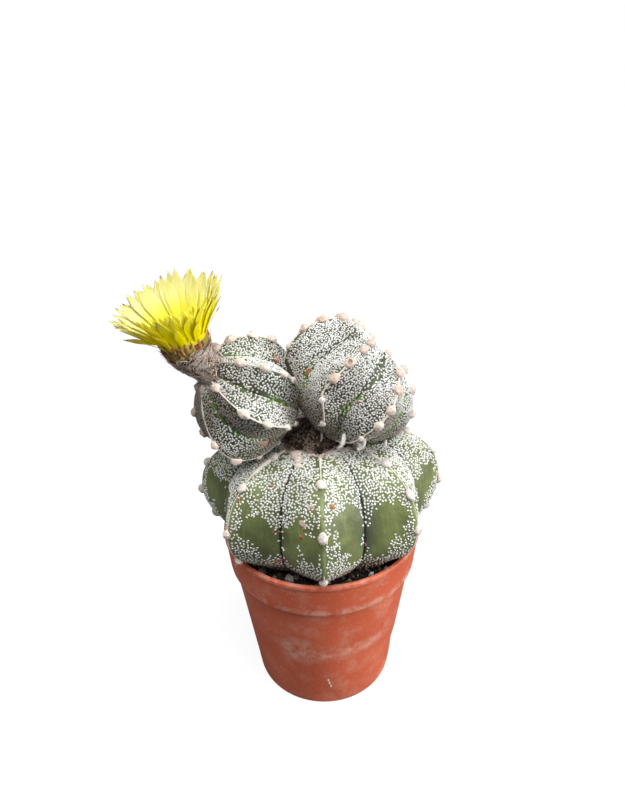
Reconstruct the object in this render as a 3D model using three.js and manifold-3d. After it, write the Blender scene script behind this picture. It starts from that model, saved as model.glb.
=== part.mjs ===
// A potted star cactus: an old ribbed stem in a round nursery pot, with two offsets grown
// from its cut top and a yellow flower on the left one.
// Millimetres, +Z up, -Y is the front. The origin is the centre of the pot's base.
import * as THREE from 'three';
import { mergeVertices } from 'three/addons/utils/BufferGeometryUtils.js';
import Module from 'manifold-3d';

const wasm = await Module();
wasm.setup();

// Driving dimensions

const gap = 0.3; // between neighbouring pieces

const pot = {
  height: 79, footRadius: 31.3, shoulderRadius: 39.7, bandRadius: 41.3, rimRadius: 42.5,
  bandHeight: 16, shoulderStep: 1.2, bandBevel: 0.6, lipHeight: 2, lipProud: 0.4, lipBevel: 0.5,
  wall: 1.3, floor: 2.2, footBevel: 0.8, sides: 48,
  reliefs: 6, reliefHeight: 14, reliefHalfWidth: 7, reliefDepth: 1.1,
  drainHoles: 6, drainRadius: 3, drainRing: 22,
};

const soil = {
  level: 76.6, waviness: 0.5, stones: 34, stoneMin: 0.8, stoneMax: 2, ring: [32.5, 38.2], sides: 48,
};

// How a rib falls from its crest to the furrow: the share of the fall that its nearly flat face
// takes, how flat that face is, and how narrow the crease is that takes the rest
const rib = { face: 0.82, facePower: 1.5, creasePower: 10 };

// Heights of the plant are measured from the pot's rim.

// The crest line of a rib from the top to the root collar, radius and height. The first points
// are the mound between the offsets and the hollow of the cut top.
const mainStem = {
  crest: [
    [0, 49.5], [5.5, 48.5], [9.5, 45.3], [13, 41.8], [16.5, 41.2], [19.2, 43.2], [21.5, 44.2],
    [33, 42.6], [40, 39.5], [46, 34], [49.5, 27], [50.5, 19.5], [49.5, 12.5], [46, 6],
    [41, 1.5], [36, -3.8], [29, -7.5], [19, -10], [12, -14], [9.5, -22], [8.5, -29], [0, -30],
  ],
  furrow: [
    0, 0, 0, 0.03, 0.06, 0.08, 0.1,
    0.12, 0.135, 0.145, 0.15, 0.15, 0.145, 0.14,
    0.135, 0.13, 0.12, 0.09, 0.04, 0, 0, 0,
  ],
  ribs: 8, firstRib: -90, rows: 26,
  rise: 0.04, // the right shoulder stands higher than the left
  cutEdgeRadius: 20, cutEdgeWidth: 2, cutEdgeRag: 0.7, hollowHeight: 41.2, shoulderHeight: 44.2,
  areoleSpan: [5, 16], // the points of the crest between which areoles sit
  areoleRadius: 1.9, areoleHeight: 1.35,
};

// Distance of each areole along its crest from the cut edge: the front rib, its two
// neighbours, and the step that the other ribs follow.
const mainAreoles = {
  0: [3, 17, 36.5, 61], 1: [2, 16.5, 31, 45.5], 7: [6.5, 24, 43.5, 60],
  others: [4, 17.5, 32, 46.5, 60.5],
};

// An offset is an oblate ribbed globe. axis is its growing direction as azimuth and elevation,
// lean moves the crown sideways, and ribAngles turn from the upper side round the axis. Each
// rib has its own row of areoles, as angles from the crown.
const leftOffset = {
  centre: [-28.3, -7.6, 64.4], azimuth: -159.5, elevation: 28.7, radius: 24.4, halfHeight: 20.8,
  lowerStretch: 1.06, pinch: 1.25, lean: [5.5, 0.4], furrowDepth: 0.165,
  ribAngles: [5, -43, -89, -145, -197, -250, -302],
  areoles: [
    [29, 47, 71, 93, 116, 139], [53, 77, 98, 110, 132], [35, 68, 93.5, 120, 141],
    [20, 66, 93, 117, 141], [22, 47, 71, 94, 118, 140], [27, 44, 69, 95, 118, 142],
    [25, 48, 70, 91, 117, 140],
  ],
};
const rightOffset = {
  centre: [12.6, 1.2, 65], azimuth: 13.9, elevation: 42.5, radius: 30.3, halfHeight: 21.8,
  lowerStretch: 1.0, pinch: 0.96, lean: [2.3, -0.9], furrowDepth: 0.165,
  ribAngles: [-1, 51, 97, 167, 215, 263, 311],
  areoles: [
    [22, 41, 60, 80, 103, 130], [37, 51, 70, 90.5, 114, 135], [40, 56, 75.5, 94, 116, 139],
    [27, 45, 68, 92, 118, 142], [21, 42, 65, 90, 116, 141], [24, 46, 67, 93, 119, 143],
    [26, 44, 66, 89, 117, 142],
  ],
};
const offset = {
  rows: 14, firstAngle: 4, lastAngle: 156, crownDimple: 0.24, crownWidth: 20,
  crownDepth: 0.3, crownFade: 35, baseFade: [115, 155], baseDepth: 0.6,
  areoleRadius: 1.85, areoleHeight: 1.35, wornFrom: [93, 101], worn: 0.65,
};

const flower = {
  base: [-35.2, -15.9, 78.9], top: [-47.6, -13.6, 91.3], axis: [-0.22, -0.17, 0.96],
  baseRadius: 4.8, neckRadius: 5.6, rimRadius: 9.3, bend: 0.72, tubeSides: 16, tubeSteps: 8,
  scales: 25, scaleLength: 5.2, scaleRadius: 1.15, scaleSpan: [0.36, 0.8], scaleLift: 0.42, scaleRoot: 1,
  throatFloor: 1.3, throatHeight: 3, throatWall: 1.4, throatFlare: 0.5, throatBowl: 3.2,
};

// Each whorl of the bloom: how many blades, where a blade starts and ends as radius and height
// in the flower's own frame, how far its middle bows up, and its width.
const whorls = [
  { count: 8, root: [8.8, 1.2], tip: [19, 8.4], bow: -0.5, width: 3.4, turn: 0.2 },
  { count: 15, root: [8.6, 1.3], tip: [21, 14.6], bow: 0.6, width: 6, turn: 0 },
  { count: 14, root: [7.5, 1.5], tip: [19.8, 18], bow: 0.4, width: 6, turn: 0.5 },
  { count: 11, root: [6.1, 1.4], tip: [16, 19.2], bow: -0.4, width: 5.4, turn: 0.25 },
];
const petal = {
  thickness: 0.95, lengthJitter: 0.06, turnJitter: 0.05,
  sections: [[0.7, 1], [0.36, 0.84], [0.02, 0.5]], // share of the length, share of the width
};

const stamens = {
  count: 18, discRadius: 4.2, discHeight: 1, filament: 0.34, anther: 0.75, height: 8.5, spread: 6,
};
const style = { radius: 0.55, height: 11.5, lobes: 6, lobeLength: 3, lobeRadius: 0.4 };

const goldenAngle = Math.PI * (3 - Math.sqrt(5));

// The same scatter on every run, from a whole number
function scatter(i, salt) {
  const s = Math.sin(i * 12.9898 + salt * 78.233) * 43758.5453;
  return s - Math.floor(s);
}

// Closed meshes and solids

function solid(geometry) {
  const bare = new THREE.BufferGeometry();
  bare.setAttribute('position', geometry.getAttribute('position'));
  bare.setIndex(geometry.index);
  const merged = mergeVertices(bare, 1e-4);
  const index = merged.index.array;
  const kept = [];
  for (let i = 0; i < index.length; i += 3) {
    const [a, b, c] = [index[i], index[i + 1], index[i + 2]];
    if (a !== b && b !== c && c !== a) kept.push(a, b, c);
  }
  const vertProperties = new Float32Array(merged.getAttribute('position').array);
  return new wasm.Manifold(new wasm.Mesh({ numProp: 3, vertProperties, triVerts: new Uint32Array(kept) }));
}

function joined(parts) {
  return wasm.Manifold.union(parts);
}

// The largest body of a solid, without the scraps that a cut leaves
function mainBody(shape) {
  const bodies = shape.decompose();
  return bodies.reduce((best, body) => (body.volume() > best.volume() ? body : best));
}

function geometryOf(shape) {
  const mesh = shape.getMesh();
  const geometry = new THREE.BufferGeometry();
  geometry.setAttribute('position', new THREE.BufferAttribute(mesh.vertProperties, mesh.numProp));
  geometry.setIndex(new THREE.BufferAttribute(mesh.triVerts, 1));
  return geometry;
}

// A closed skin over rows of points: each row is a ring, and the two ends close in a point
function skin(rings, first, last) {
  const sides = rings[0].length;
  const points = [first, ...rings.flat(), last];
  const end = points.length - 1;
  const index = [];
  const at = (row, j) => 1 + row * sides + (j % sides);
  for (let j = 0; j < sides; j++) {
    index.push(0, at(0, j), at(0, j + 1));
    for (let row = 0; row < rings.length - 1; row++) {
      index.push(at(row, j), at(row + 1, j), at(row + 1, j + 1));
      index.push(at(row, j), at(row + 1, j + 1), at(row, j + 1));
    }
    index.push(end, at(rings.length - 1, j + 1), at(rings.length - 1, j));
  }
  const geometry = new THREE.BufferGeometry();
  const numbers = points.flatMap((p) => p.toArray());
  geometry.setAttribute('position', new THREE.Float32BufferAttribute(numbers, 3));
  geometry.setIndex(index);
  return geometry;
}

// Orthonormal frame with its third axis along a direction, and its first one as near +Z as it
// can be, or near +X for an upright direction
function uprightFrame(axis) {
  const w = axis.clone().normalize();
  const towards = Math.abs(w.z) > 0.999 ? new THREE.Vector3(1, 0, 0) : new THREE.Vector3(0, 0, 1);
  const u = towards.addScaledVector(w, -towards.dot(w)).normalize();
  const v = new THREE.Vector3().crossVectors(w, u);
  return new THREE.Matrix4().makeBasis(u, v, w);
}

// Ribs

// How far a point between two crests has sunk towards the furrow
function furrowShape(w) {
  return rib.face * (1 - (1 - w) ** rib.facePower) + (1 - rib.face) * w ** rib.creasePower;
}

// Places across one rib interval where the skin has a column, as shares of the interval.
// The coarse set is for a cast, which only needs the crests, the flanks and the furrows.
const fineColumns = [0, 0.26, 0.42, 0.5, 0.58, 0.74];
const coarseColumns = [0, 0.35, 0.5, 0.65];

function ribColumns(ribAngles, shares) {
  const sorted = [...ribAngles].map((a) => THREE.MathUtils.euclideanModulo(a, 360)).sort((a, b) => a - b);
  return sorted.flatMap((angle, k) => {
    const next = k + 1 < sorted.length ? sorted[k + 1] : sorted[0] + 360;
    return shares.map((share) => ({
      angle: THREE.MathUtils.degToRad(angle + share * (next - angle)),
      sunk: furrowShape(1 - Math.abs(2 * share - 1)),
    }));
  });
}

// A bead of wool: a low six-sided cushion sunk into the crest, facing out
function areole(place, out, radius, height) {
  const cushion = new THREE.SphereGeometry(1, 6, 2).rotateX(Math.PI / 2);
  const turn = new THREE.Quaternion().setFromUnitVectors(new THREE.Vector3(0, 0, 1), out);
  const matrix = new THREE.Matrix4().compose(place, turn, new THREE.Vector3(radius, radius, height));
  return solid(cushion.applyMatrix4(matrix));
}

// Main stem

function mainCrest(grow) {
  const curve = new THREE.SplineCurve(mainStem.crest.map(([r, z]) => new THREE.Vector2(r, z)));
  const depths = mainStem.furrow;
  const last = depths.length - 1;
  return Array.from({ length: mainStem.rows + 1 }, (_, i) => {
    const t = i / mainStem.rows;
    const p = curve.getPoint(t);
    const tangent = curve.getTangent(t);
    const k = Math.min(Math.floor(t * last), last - 1);
    const depth = THREE.MathUtils.lerp(depths[k], depths[k + 1], t * last - k);
    return { r: Math.max(0, p.x - grow * tangent.y), z: p.y + grow * tangent.x, depth };
  });
}

function mainPoint(r, z, angle) {
  const x = r * Math.cos(angle);
  const lift = mainStem.rise * x * Math.max(0, z) / mainStem.shoulderHeight;
  return new THREE.Vector3(x, r * Math.sin(angle), z + lift);
}

const mainRibAngles = Array.from(
  { length: mainStem.ribs }, (_, k) => mainStem.firstRib + k * 360 / mainStem.ribs,
);

function mainHead(grow, shares) {
  const rows = mainCrest(grow);
  const columns = ribColumns(mainRibAngles, shares);
  const rings = rows.slice(1, -1).map((row) => columns.map(({ angle, sunk }, j) => {
    const fromCut = Math.abs(row.r - mainStem.cutEdgeRadius);
    const atCut = fromCut < mainStem.cutEdgeWidth && row.z > mainStem.hollowHeight;
    const rag = atCut ? mainStem.cutEdgeRag * scatter(j, 3) : 0;
    return mainPoint(row.r * (1 - row.depth * sunk), row.z + rag, angle);
  }));
  return solid(skin(rings, mainPoint(0, rows[0].z, 0), mainPoint(0, rows.at(-1).z, 0)));
}

// Points along a crest at given distances from the cut edge
function alongCrest(distances) {
  const span = mainStem.crest.slice(...mainStem.areoleSpan);
  const curve = new THREE.SplineCurve(span.map(([r, z]) => new THREE.Vector2(r, z)));
  return distances.map((distance) => {
    const u = distance / curve.getLength();
    const p = curve.getPointAt(u);
    const tangent = curve.getTangentAt(u);
    return { r: p.x, z: p.y, out: [-tangent.y, tangent.x] };
  });
}

function mainStemSolid(casts) {
  const beads = mainRibAngles.flatMap((degrees, rib) => {
    const angle = THREE.MathUtils.degToRad(degrees);
    return alongCrest(mainAreoles[rib] ?? mainAreoles.others).map(({ r, z, out }) => {
      const direction = new THREE.Vector3(out[0] * Math.cos(angle), out[0] * Math.sin(angle), out[1]);
      return areole(mainPoint(r, z, angle), direction, mainStem.areoleRadius, mainStem.areoleHeight);
    });
  });
  return mainBody(joined([mainHead(0, fineColumns), ...beads]).subtract(joined(casts)));
}

// Offsets

// The crest of an offset at an angle from its crown: radius from the axis, height along it
function offsetCrest(shape, degrees, grow) {
  const angle = THREE.MathUtils.degToRad(degrees);
  const radius = shape.radius + grow;
  const halfHeight = shape.halfHeight + grow;
  const dimple = offset.crownDimple * halfHeight * Math.exp(-((degrees / offset.crownWidth) ** 2));
  const along = halfHeight * Math.cos(angle) * (degrees > 90 ? shape.lowerStretch : 1);
  return { r: radius * Math.sin(angle) ** shape.pinch, along, z: along - dimple };
}

// Furrows start shallow at the crown, run full round the middle and fade at the base
function offsetDepth(shape, degrees) {
  const { smoothstep, lerp } = THREE.MathUtils;
  const nearCrown = lerp(offset.crownDepth, 1, smoothstep(degrees, 0, offset.crownFade));
  const nearBase = lerp(1, offset.baseDepth, smoothstep(degrees, ...offset.baseFade));
  return shape.furrowDepth * nearCrown * nearBase;
}

function offsetFrame(shape) {
  const azimuth = THREE.MathUtils.degToRad(shape.azimuth);
  const elevation = THREE.MathUtils.degToRad(shape.elevation);
  const flat = Math.cos(elevation);
  const axis = new THREE.Vector3(flat * Math.cos(azimuth), flat * Math.sin(azimuth), Math.sin(elevation));
  return uprightFrame(axis).setPosition(...shape.centre);
}

function offsetPoint(shape, crest, angle, sunk, depth) {
  const r = crest.r * (1 - depth * sunk);
  const lean = THREE.MathUtils.clamp(crest.along / shape.halfHeight, 0, 1) ** 2;
  return new THREE.Vector3(
    r * Math.cos(angle) + shape.lean[0] * lean, r * Math.sin(angle) + shape.lean[1] * lean, crest.z,
  );
}

// Areoles low on an offset have lost some of their wool
function offsetBeads(shape, grow) {
  const { lerp, smoothstep } = THREE.MathUtils;
  const beads = [];
  shape.ribAngles.forEach((ribAngle, rib) => {
    const angle = THREE.MathUtils.degToRad(ribAngle);
    for (const degrees of shape.areoles[rib]) {
      const here = offsetPoint(shape, offsetCrest(shape, degrees, 0), angle, 0, 0);
      const next = offsetPoint(shape, offsetCrest(shape, degrees + 1, 0), angle, 0, 0);
      const side = new THREE.Vector3(-Math.sin(angle), Math.cos(angle), 0);
      const out = new THREE.Vector3().crossVectors(side, next.sub(here)).normalize();
      const size = lerp(1, offset.worn, smoothstep(degrees, ...offset.wornFrom));
      const [radius, height] = [size * offset.areoleRadius, size * offset.areoleHeight];
      beads.push(areole(here, out.negate(), radius + grow, height + grow));
    }
  });
  return beads;
}

function offsetSolid(shape, grow) {
  const columns = ribColumns(shape.ribAngles, fineColumns);
  const step = (offset.lastAngle - offset.firstAngle) / (offset.rows - 1);
  const rings = Array.from({ length: offset.rows }, (_, i) => {
    const degrees = offset.firstAngle + i * step;
    const crest = offsetCrest(shape, degrees, grow);
    const depth = offsetDepth(shape, degrees);
    return columns.map(({ angle, sunk }) => offsetPoint(shape, crest, angle, sunk, depth));
  });
  const centreOf = (ring) => (
    ring.reduce((sum, p) => sum.add(p), new THREE.Vector3()).divideScalar(ring.length));
  const body = solid(skin(rings, centreOf(rings[0]), centreOf(rings.at(-1))));
  const whole = joined([body, ...offsetBeads(shape, grow)]);
  return whole.transform(offsetFrame(shape).elements);
}

// Flower

const flowerBase = new THREE.Vector3(...flower.base);
const flowerTop = new THREE.Vector3(...flower.top);
const flowerAxis = new THREE.Vector3(...flower.axis).normalize();
const flowerFrame = uprightFrame(flowerAxis).setPosition(flowerTop);
const tubeLength = flowerBase.distanceTo(flowerTop);
const tubeLine = new THREE.QuadraticBezierCurve3(
  flowerBase, flowerTop.clone().addScaledVector(flowerAxis, -flower.bend * tubeLength), flowerTop,
);

// The tube is slim at its foot and opens towards the petals
function tubeRadius(t) {
  const middle = THREE.MathUtils.lerp(flower.baseRadius, flower.neckRadius, Math.min(1, t / 0.4));
  return middle + (flower.rimRadius - flower.neckRadius) * THREE.MathUtils.smoothstep(t, 0.3, 1);
}

function tubePoint(t, angle, r) {
  const axis = tubeLine.getTangent(t);
  const frame = uprightFrame(axis).setPosition(tubeLine.getPoint(t));
  return new THREE.Vector3(r * Math.cos(angle), r * Math.sin(angle), 0).applyMatrix4(frame);
}

function tubeBody(grow) {
  const rings = Array.from({ length: flower.tubeSteps + 1 }, (_, i) => {
    const t = 1 - i / flower.tubeSteps;
    return Array.from({ length: flower.tubeSides }, (_, j) => (
      tubePoint(t, j * 2 * Math.PI / flower.tubeSides, tubeRadius(t) + grow)));
  });
  const foot = flowerBase.clone().addScaledVector(tubeLine.getTangent(0), -grow);
  return solid(skin(rings, flowerTop.clone(), foot));
}

// Pointed scales in a spiral, each lying up the tube with its point lifted off it
function tubeScales() {
  return Array.from({ length: flower.scales }, (_, i) => {
    const t = THREE.MathUtils.lerp(...flower.scaleSpan, i / flower.scales);
    const angle = i * goldenAngle;
    const root = tubePoint(t, angle, tubeRadius(t) - gap);
    const out = tubePoint(t, angle, 1).sub(tubeLine.getPoint(t)).normalize();
    const along = tubeLine.getTangent(t).addScaledVector(out, flower.scaleLift).normalize();
    const cone = new THREE.ConeGeometry(flower.scaleRadius, flower.scaleLength, 4);
    cone.translate(0, flower.scaleLength / 2 - flower.scaleRoot, 0).scale(1.25, 1, 0.6);
    const side = new THREE.Vector3().crossVectors(along, out).normalize();
    const basis = new THREE.Matrix4().makeBasis(side, along, new THREE.Vector3().crossVectors(side, along));
    return solid(cone.applyMatrix4(basis.setPosition(root)));
  });
}

// A blade is a lozenge in section that swells past its middle and comes to a point
function blade({ root, tip, bow, width }, angle, stretch) {
  const [from, to] = [new THREE.Vector2(...root), new THREE.Vector2(...tip)];
  const reach = to.clone().sub(from).multiplyScalar(stretch);
  const normal = new THREE.Vector2(-reach.y, reach.x).normalize();
  const swing = new THREE.Matrix4().makeRotationZ(angle);
  const place = (t, side, lift) => {
    const bowed = Math.sin(Math.PI * t) * bow + lift;
    const p = from.clone().addScaledVector(reach, t).addScaledVector(normal, bowed);
    return new THREE.Vector3(p.x, side, p.y).applyMatrix4(swing);
  };
  const half = petal.thickness / 2;
  const section = (t, wide) => [
    place(t, wide / 2, 0), place(t, 0, half), place(t, -wide / 2, 0), place(t, 0, -half),
  ];
  const rings = petal.sections.map(([t, share]) => section(t, share * width));
  return solid(skin(rings, place(1, 0, 0), place(0, 0, 0)));
}

function petalSolid() {
  const { rimRadius, throatFloor, throatHeight, throatWall, throatBowl } = flower;
  const mouth = rimRadius + flower.throatFlare;
  const outline = [
    [0, gap], [rimRadius - gap, gap], [mouth, throatHeight], [mouth - throatWall, throatHeight],
    [rimRadius - throatBowl, throatFloor + 0.9], [0, throatFloor],
  ].map(([r, z]) => new THREE.Vector2(r, z));
  const throat = solid(new THREE.LatheGeometry(outline, 24).rotateX(Math.PI / 2));
  const blades = whorls.flatMap((whorl, row) => Array.from({ length: whorl.count }, (_, i) => {
    const jitter = petal.turnJitter * (scatter(i, row) - 0.5);
    const angle = (i + whorl.turn) / whorl.count * 2 * Math.PI + jitter;
    return blade(whorl, angle, 1 + petal.lengthJitter * (scatter(i, row + 9) - 0.5));
  }));
  return mainBody(joined([throat, ...blades])).transform(flowerFrame.elements);
}

// A slim stalk from one point to another, with rings given as shares of its length and radii
function stalk(from, to, rings, sides) {
  const frame = uprightFrame(to.clone().sub(from)).setPosition(from);
  const length = from.distanceTo(to);
  const ring = ([share, r]) => Array.from({ length: sides }, (_, j) => {
    const angle = j * 2 * Math.PI / sides;
    return new THREE.Vector3(r * Math.cos(angle), r * Math.sin(angle), share * length).applyMatrix4(frame);
  });
  return solid(skin(rings.map(ring), to, from));
}

function stamenSolid() {
  const { filament, anther, discRadius, discHeight } = stamens;
  const floor = flower.throatFloor + 2 * gap;
  const inDisc = floor + discHeight / 2;
  const disc = new THREE.CylinderGeometry(discRadius, discRadius * 0.7, discHeight, 12);
  const parts = [solid(disc.rotateX(Math.PI / 2).translate(0, 0, inDisc))];
  for (let i = 0; i < stamens.count; i++) {
    const angle = i * goldenAngle;
    const share = Math.sqrt((i + 4) / (stamens.count + 4));
    const place = (r, z) => new THREE.Vector3(r * Math.cos(angle), r * Math.sin(angle), z);
    const tip = place(stamens.spread * share, floor + stamens.height * (1.08 - 0.3 * share));
    const rings = [[0.93, anther * 0.8], [0.84, anther], [0.78, filament], [0.03, filament]];
    parts.push(stalk(place(0.8 * discRadius * share, inDisc), tip, rings, 3));
  }
  const head = new THREE.Vector3(0, 0, floor + style.height);
  parts.push(stalk(new THREE.Vector3(0, 0, inDisc), head, [[0.96, style.radius], [0.03, style.radius]], 5));
  for (let i = 0; i < style.lobes; i++) {
    const angle = (i + 0.37) * 2 * Math.PI / style.lobes;
    const out = new THREE.Vector3(0.62 * Math.cos(angle), 0.62 * Math.sin(angle), 0.78);
    const root = head.clone().setZ(head.z - 0.6);
    const tip = root.clone().addScaledVector(out, style.lobeLength);
    parts.push(stalk(root, tip, [[0.7, style.lobeRadius], [0.1, 0.75 * style.lobeRadius]], 3));
  }
  return mainBody(joined(parts)).transform(flowerFrame.elements);
}

// Pot and soil

// Outer wall radius below the band, straight from the foot to the shoulder
function wallRadius(z) {
  const top = pot.height - pot.bandHeight;
  return THREE.MathUtils.lerp(pot.footRadius, pot.shoulderRadius, z / top);
}

function potSolid() {
  const bandFoot = pot.height - pot.bandHeight;
  const lipFoot = pot.height - pot.lipHeight;
  const { wall, floor, rimRadius, bandRadius, footBevel, shoulderStep, bandBevel, lipBevel } = pot;
  const lipRadius = rimRadius + pot.lipProud;
  const wallHeights = [footBevel, pot.reliefHeight / 2, pot.reliefHeight, bandFoot - shoulderStep];
  const outline = [
    [0, 0], [pot.footRadius - footBevel, 0],
    ...wallHeights.map((z) => [wallRadius(z), z]),
    [bandRadius - bandBevel / 3, bandFoot], [bandRadius, bandFoot + bandBevel],
    [rimRadius, lipFoot - lipBevel],
    [lipRadius, lipFoot], [lipRadius, pot.height - lipBevel], [rimRadius, pot.height],
    [rimRadius - wall + 0.2, pot.height],
    [bandRadius - wall, bandFoot + 1], [wallRadius(bandFoot) - wall, bandFoot - shoulderStep],
    [wallRadius(floor) - wall, floor], [0, floor],
  ].map(([r, z]) => new THREE.Vector2(r, z));
  const lathe = new THREE.LatheGeometry(outline, pot.sides).rotateX(Math.PI / 2);
  const position = lathe.getAttribute('position');
  for (let i = 0; i < position.count; i++) pushInRelief(position, i);
  const hole = (k) => {
    const angle = (k + 0.5) * 2 * Math.PI / pot.drainHoles;
    const drill = new THREE.CylinderGeometry(pot.drainRadius, pot.drainRadius, 4 * floor, 12);
    const [x, y] = [pot.drainRing * Math.cos(angle), pot.drainRing * Math.sin(angle)];
    return solid(drill.rotateX(Math.PI / 2).translate(x, y, floor / 2));
  };
  return solid(lathe).subtract(joined(Array.from({ length: pot.drainHoles }, (_, k) => hole(k))));
}

// The foot is pushed in under an inverted V at each of the reliefs, on the outside of the wall
function pushInRelief(position, i) {
  const [x, y, z] = [position.getX(i), position.getY(i), position.getZ(i)];
  const r = Math.hypot(x, y);
  if (z > pot.reliefHeight || r < pot.footRadius - pot.footBevel - 0.1) return;
  const pitch = 2 * Math.PI / pot.reliefs;
  const fromFront = Math.atan2(y, x) + Math.PI / 2;
  const turned = THREE.MathUtils.euclideanModulo(fromFront + pitch / 2, pitch) - pitch / 2;
  const half = pot.reliefHalfWidth * (1 - z / pot.reliefHeight);
  const inside = THREE.MathUtils.clamp((half - Math.abs(turned) * r) / 3 + 0.4, 0, 1);
  const share = 1 - pot.reliefDepth * (half > 0 ? inside : 0) / r;
  position.setXYZ(i, x * share, y * share, z);
}

function soilSolid(stemCast) {
  const bandFoot = pot.height - pot.bandHeight;
  const inner = (z) => wallRadius(z) - pot.wall - gap;
  const bandInner = pot.bandRadius - pot.wall - gap;
  const bottom = pot.floor + gap;
  const outline = [
    [0, bottom], [inner(bottom), bottom], [inner(bandFoot - pot.shoulderStep), bandFoot - 1],
    [bandInner - 0.1, bandFoot + 1.3],
    [bandInner + 0.75, soil.level - 0.6], [bandInner - 0.6, soil.level],
    [36.5, soil.level + 0.2], [32, soil.level - 0.1], [0, soil.level],
  ].map(([r, z]) => new THREE.Vector2(r, z));
  const lathe = new THREE.LatheGeometry(outline, soil.sides).rotateX(Math.PI / 2);
  const position = lathe.getAttribute('position');
  for (let i = 0; i < position.count; i++) {
    const [x, y, z] = [position.getX(i), position.getY(i), position.getZ(i)];
    const wave = Math.sin(0.45 * x + 1) * Math.cos(0.38 * y) + 0.6 * Math.sin(0.9 * y - 0.7 * x);
    if (z > soil.level - 0.3) position.setZ(i, z + soil.waviness * wave);
  }
  const stones = Array.from({ length: soil.stones }, (_, i) => {
    const size = THREE.MathUtils.lerp(soil.stoneMin, soil.stoneMax, scatter(i, 1) ** 2);
    const angle = (i + 0.6 * scatter(i, 2)) / soil.stones * 2 * Math.PI;
    const r = THREE.MathUtils.lerp(soil.ring[0], soil.ring[1] - size / 2, scatter(i, 4));
    const stone = new THREE.IcosahedronGeometry(size, 0);
    stone.rotateX(scatter(i, 5) * Math.PI).rotateZ(scatter(i, 6) * Math.PI).scale(1.1, 0.9, 0.75);
    return solid(stone.translate(r * Math.cos(angle), r * Math.sin(angle), soil.level + 0.25 * size));
  });
  return mainBody(joined([solid(lathe), ...stones]).subtract(stemCast));
}

// Assembly

const leftCast = offsetSolid(leftOffset, gap);
const rightCast = offsetSolid(rightOffset, gap);
const tubeCast = tubeBody(gap);
const stemCast = mainHead(2.4 * gap, coarseColumns).translate(0, 0, pot.height);

function finish(name, color, roughness) {
  return new THREE.MeshStandardMaterial({ name, color, roughness, metalness: 0 });
}

const stemSkin = finish('stem', 0x9aa690, 0.75);

function pieceMesh(name, shape, material) {
  const mesh = new THREE.Mesh(geometryOf(shape), material);
  mesh.name = name;
  return mesh;
}

const plant = new THREE.Group();
plant.position.z = pot.height;
plant.add(
  pieceMesh('main_stem', mainStemSolid([leftCast, rightCast]), stemSkin),
  pieceMesh('left_offset', mainBody(offsetSolid(leftOffset, 0).subtract(tubeCast)), stemSkin),
  pieceMesh('right_offset', mainBody(offsetSolid(rightOffset, 0).subtract(leftCast)), stemSkin),
  pieceMesh('flower_tube', mainBody(joined([tubeBody(0), ...tubeScales()])), finish('tube', 0x8d7566, 0.9)),
  pieceMesh('petals', petalSolid(), finish('petal', 0xefe36a, 0.6)),
  pieceMesh('stamens', stamenSolid(), finish('stamen', 0xe8cf3a, 0.7)),
);

const model = new THREE.Group();
model.add(
  pieceMesh('pot', potSolid(), finish('pot', 0xc05a3c, 0.6)),
  pieceMesh('soil', soilSolid(stemCast), finish('soil', 0x2b241f, 0.95)),
  plant,
);

export default model;
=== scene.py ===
import bpy
import numpy as np
from mathutils import Matrix, Vector


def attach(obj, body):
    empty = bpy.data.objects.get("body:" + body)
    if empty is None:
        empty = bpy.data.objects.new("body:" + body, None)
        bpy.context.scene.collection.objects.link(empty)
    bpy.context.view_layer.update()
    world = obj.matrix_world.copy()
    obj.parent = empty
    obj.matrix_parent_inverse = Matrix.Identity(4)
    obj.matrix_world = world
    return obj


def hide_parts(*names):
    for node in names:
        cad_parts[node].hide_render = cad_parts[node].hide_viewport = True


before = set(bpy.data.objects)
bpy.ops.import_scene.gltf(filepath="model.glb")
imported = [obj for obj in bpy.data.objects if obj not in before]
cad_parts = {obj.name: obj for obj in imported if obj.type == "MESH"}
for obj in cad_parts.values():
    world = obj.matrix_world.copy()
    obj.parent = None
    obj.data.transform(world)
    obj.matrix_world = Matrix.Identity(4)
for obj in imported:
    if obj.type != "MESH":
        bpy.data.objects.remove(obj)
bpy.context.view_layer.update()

# Potted star cactus. Everything is worked out in millimetres and turned into metres when a mesh is made.
# Heights of the plant are measured from the pot's rim, as in the CAD source.

mm = 0.001
rimHeight = 79.0
rimPoint = np.array([0, 0, rimHeight])
goldenAngle = np.pi * (3 - np.sqrt(5))


# Numbers, curves and noise

def smoothStep(low, high, value):
    # 0 below low, 1 above high, an s-curve between them
    share = np.clip((value - low) / (high - low), 0, 1)
    return share * share * (3 - 2 * share)


def bell(value, middle, width):
    # 1 at the middle, and 1/e at that width from it
    return np.exp(-((value - middle) / width) ** 2)


def unit(vectors):
    return vectors / np.maximum(np.linalg.norm(vectors, axis=-1, keepdims=True), 1e-9)


def circle(count):
    return np.arange(count) * 2 * np.pi / count


def spun(x, y, z, angle):
    # points turned about the upright axis
    cos, sin = np.cos(angle), np.sin(angle)
    return np.stack(np.broadcast_arrays(x * cos - y * sin, x * sin + y * cos, z), axis=-1)


def turned(radius, angle, height):
    return spun(radius, 0.0, height, angle)


def bent(start, middle, end, t):
    # quadratic curve from start to end, pulled towards the middle point
    return (1 - t) ** 2 * start + 2 * t * (1 - t) * middle + t * t * end


def scatterValue(i, salt):
    # the same scatter as the CAD's: the digits of a large sine
    value = np.sin(i * 12.9898 + salt * 78.233) * 43758.5453
    return value - np.floor(value)


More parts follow.
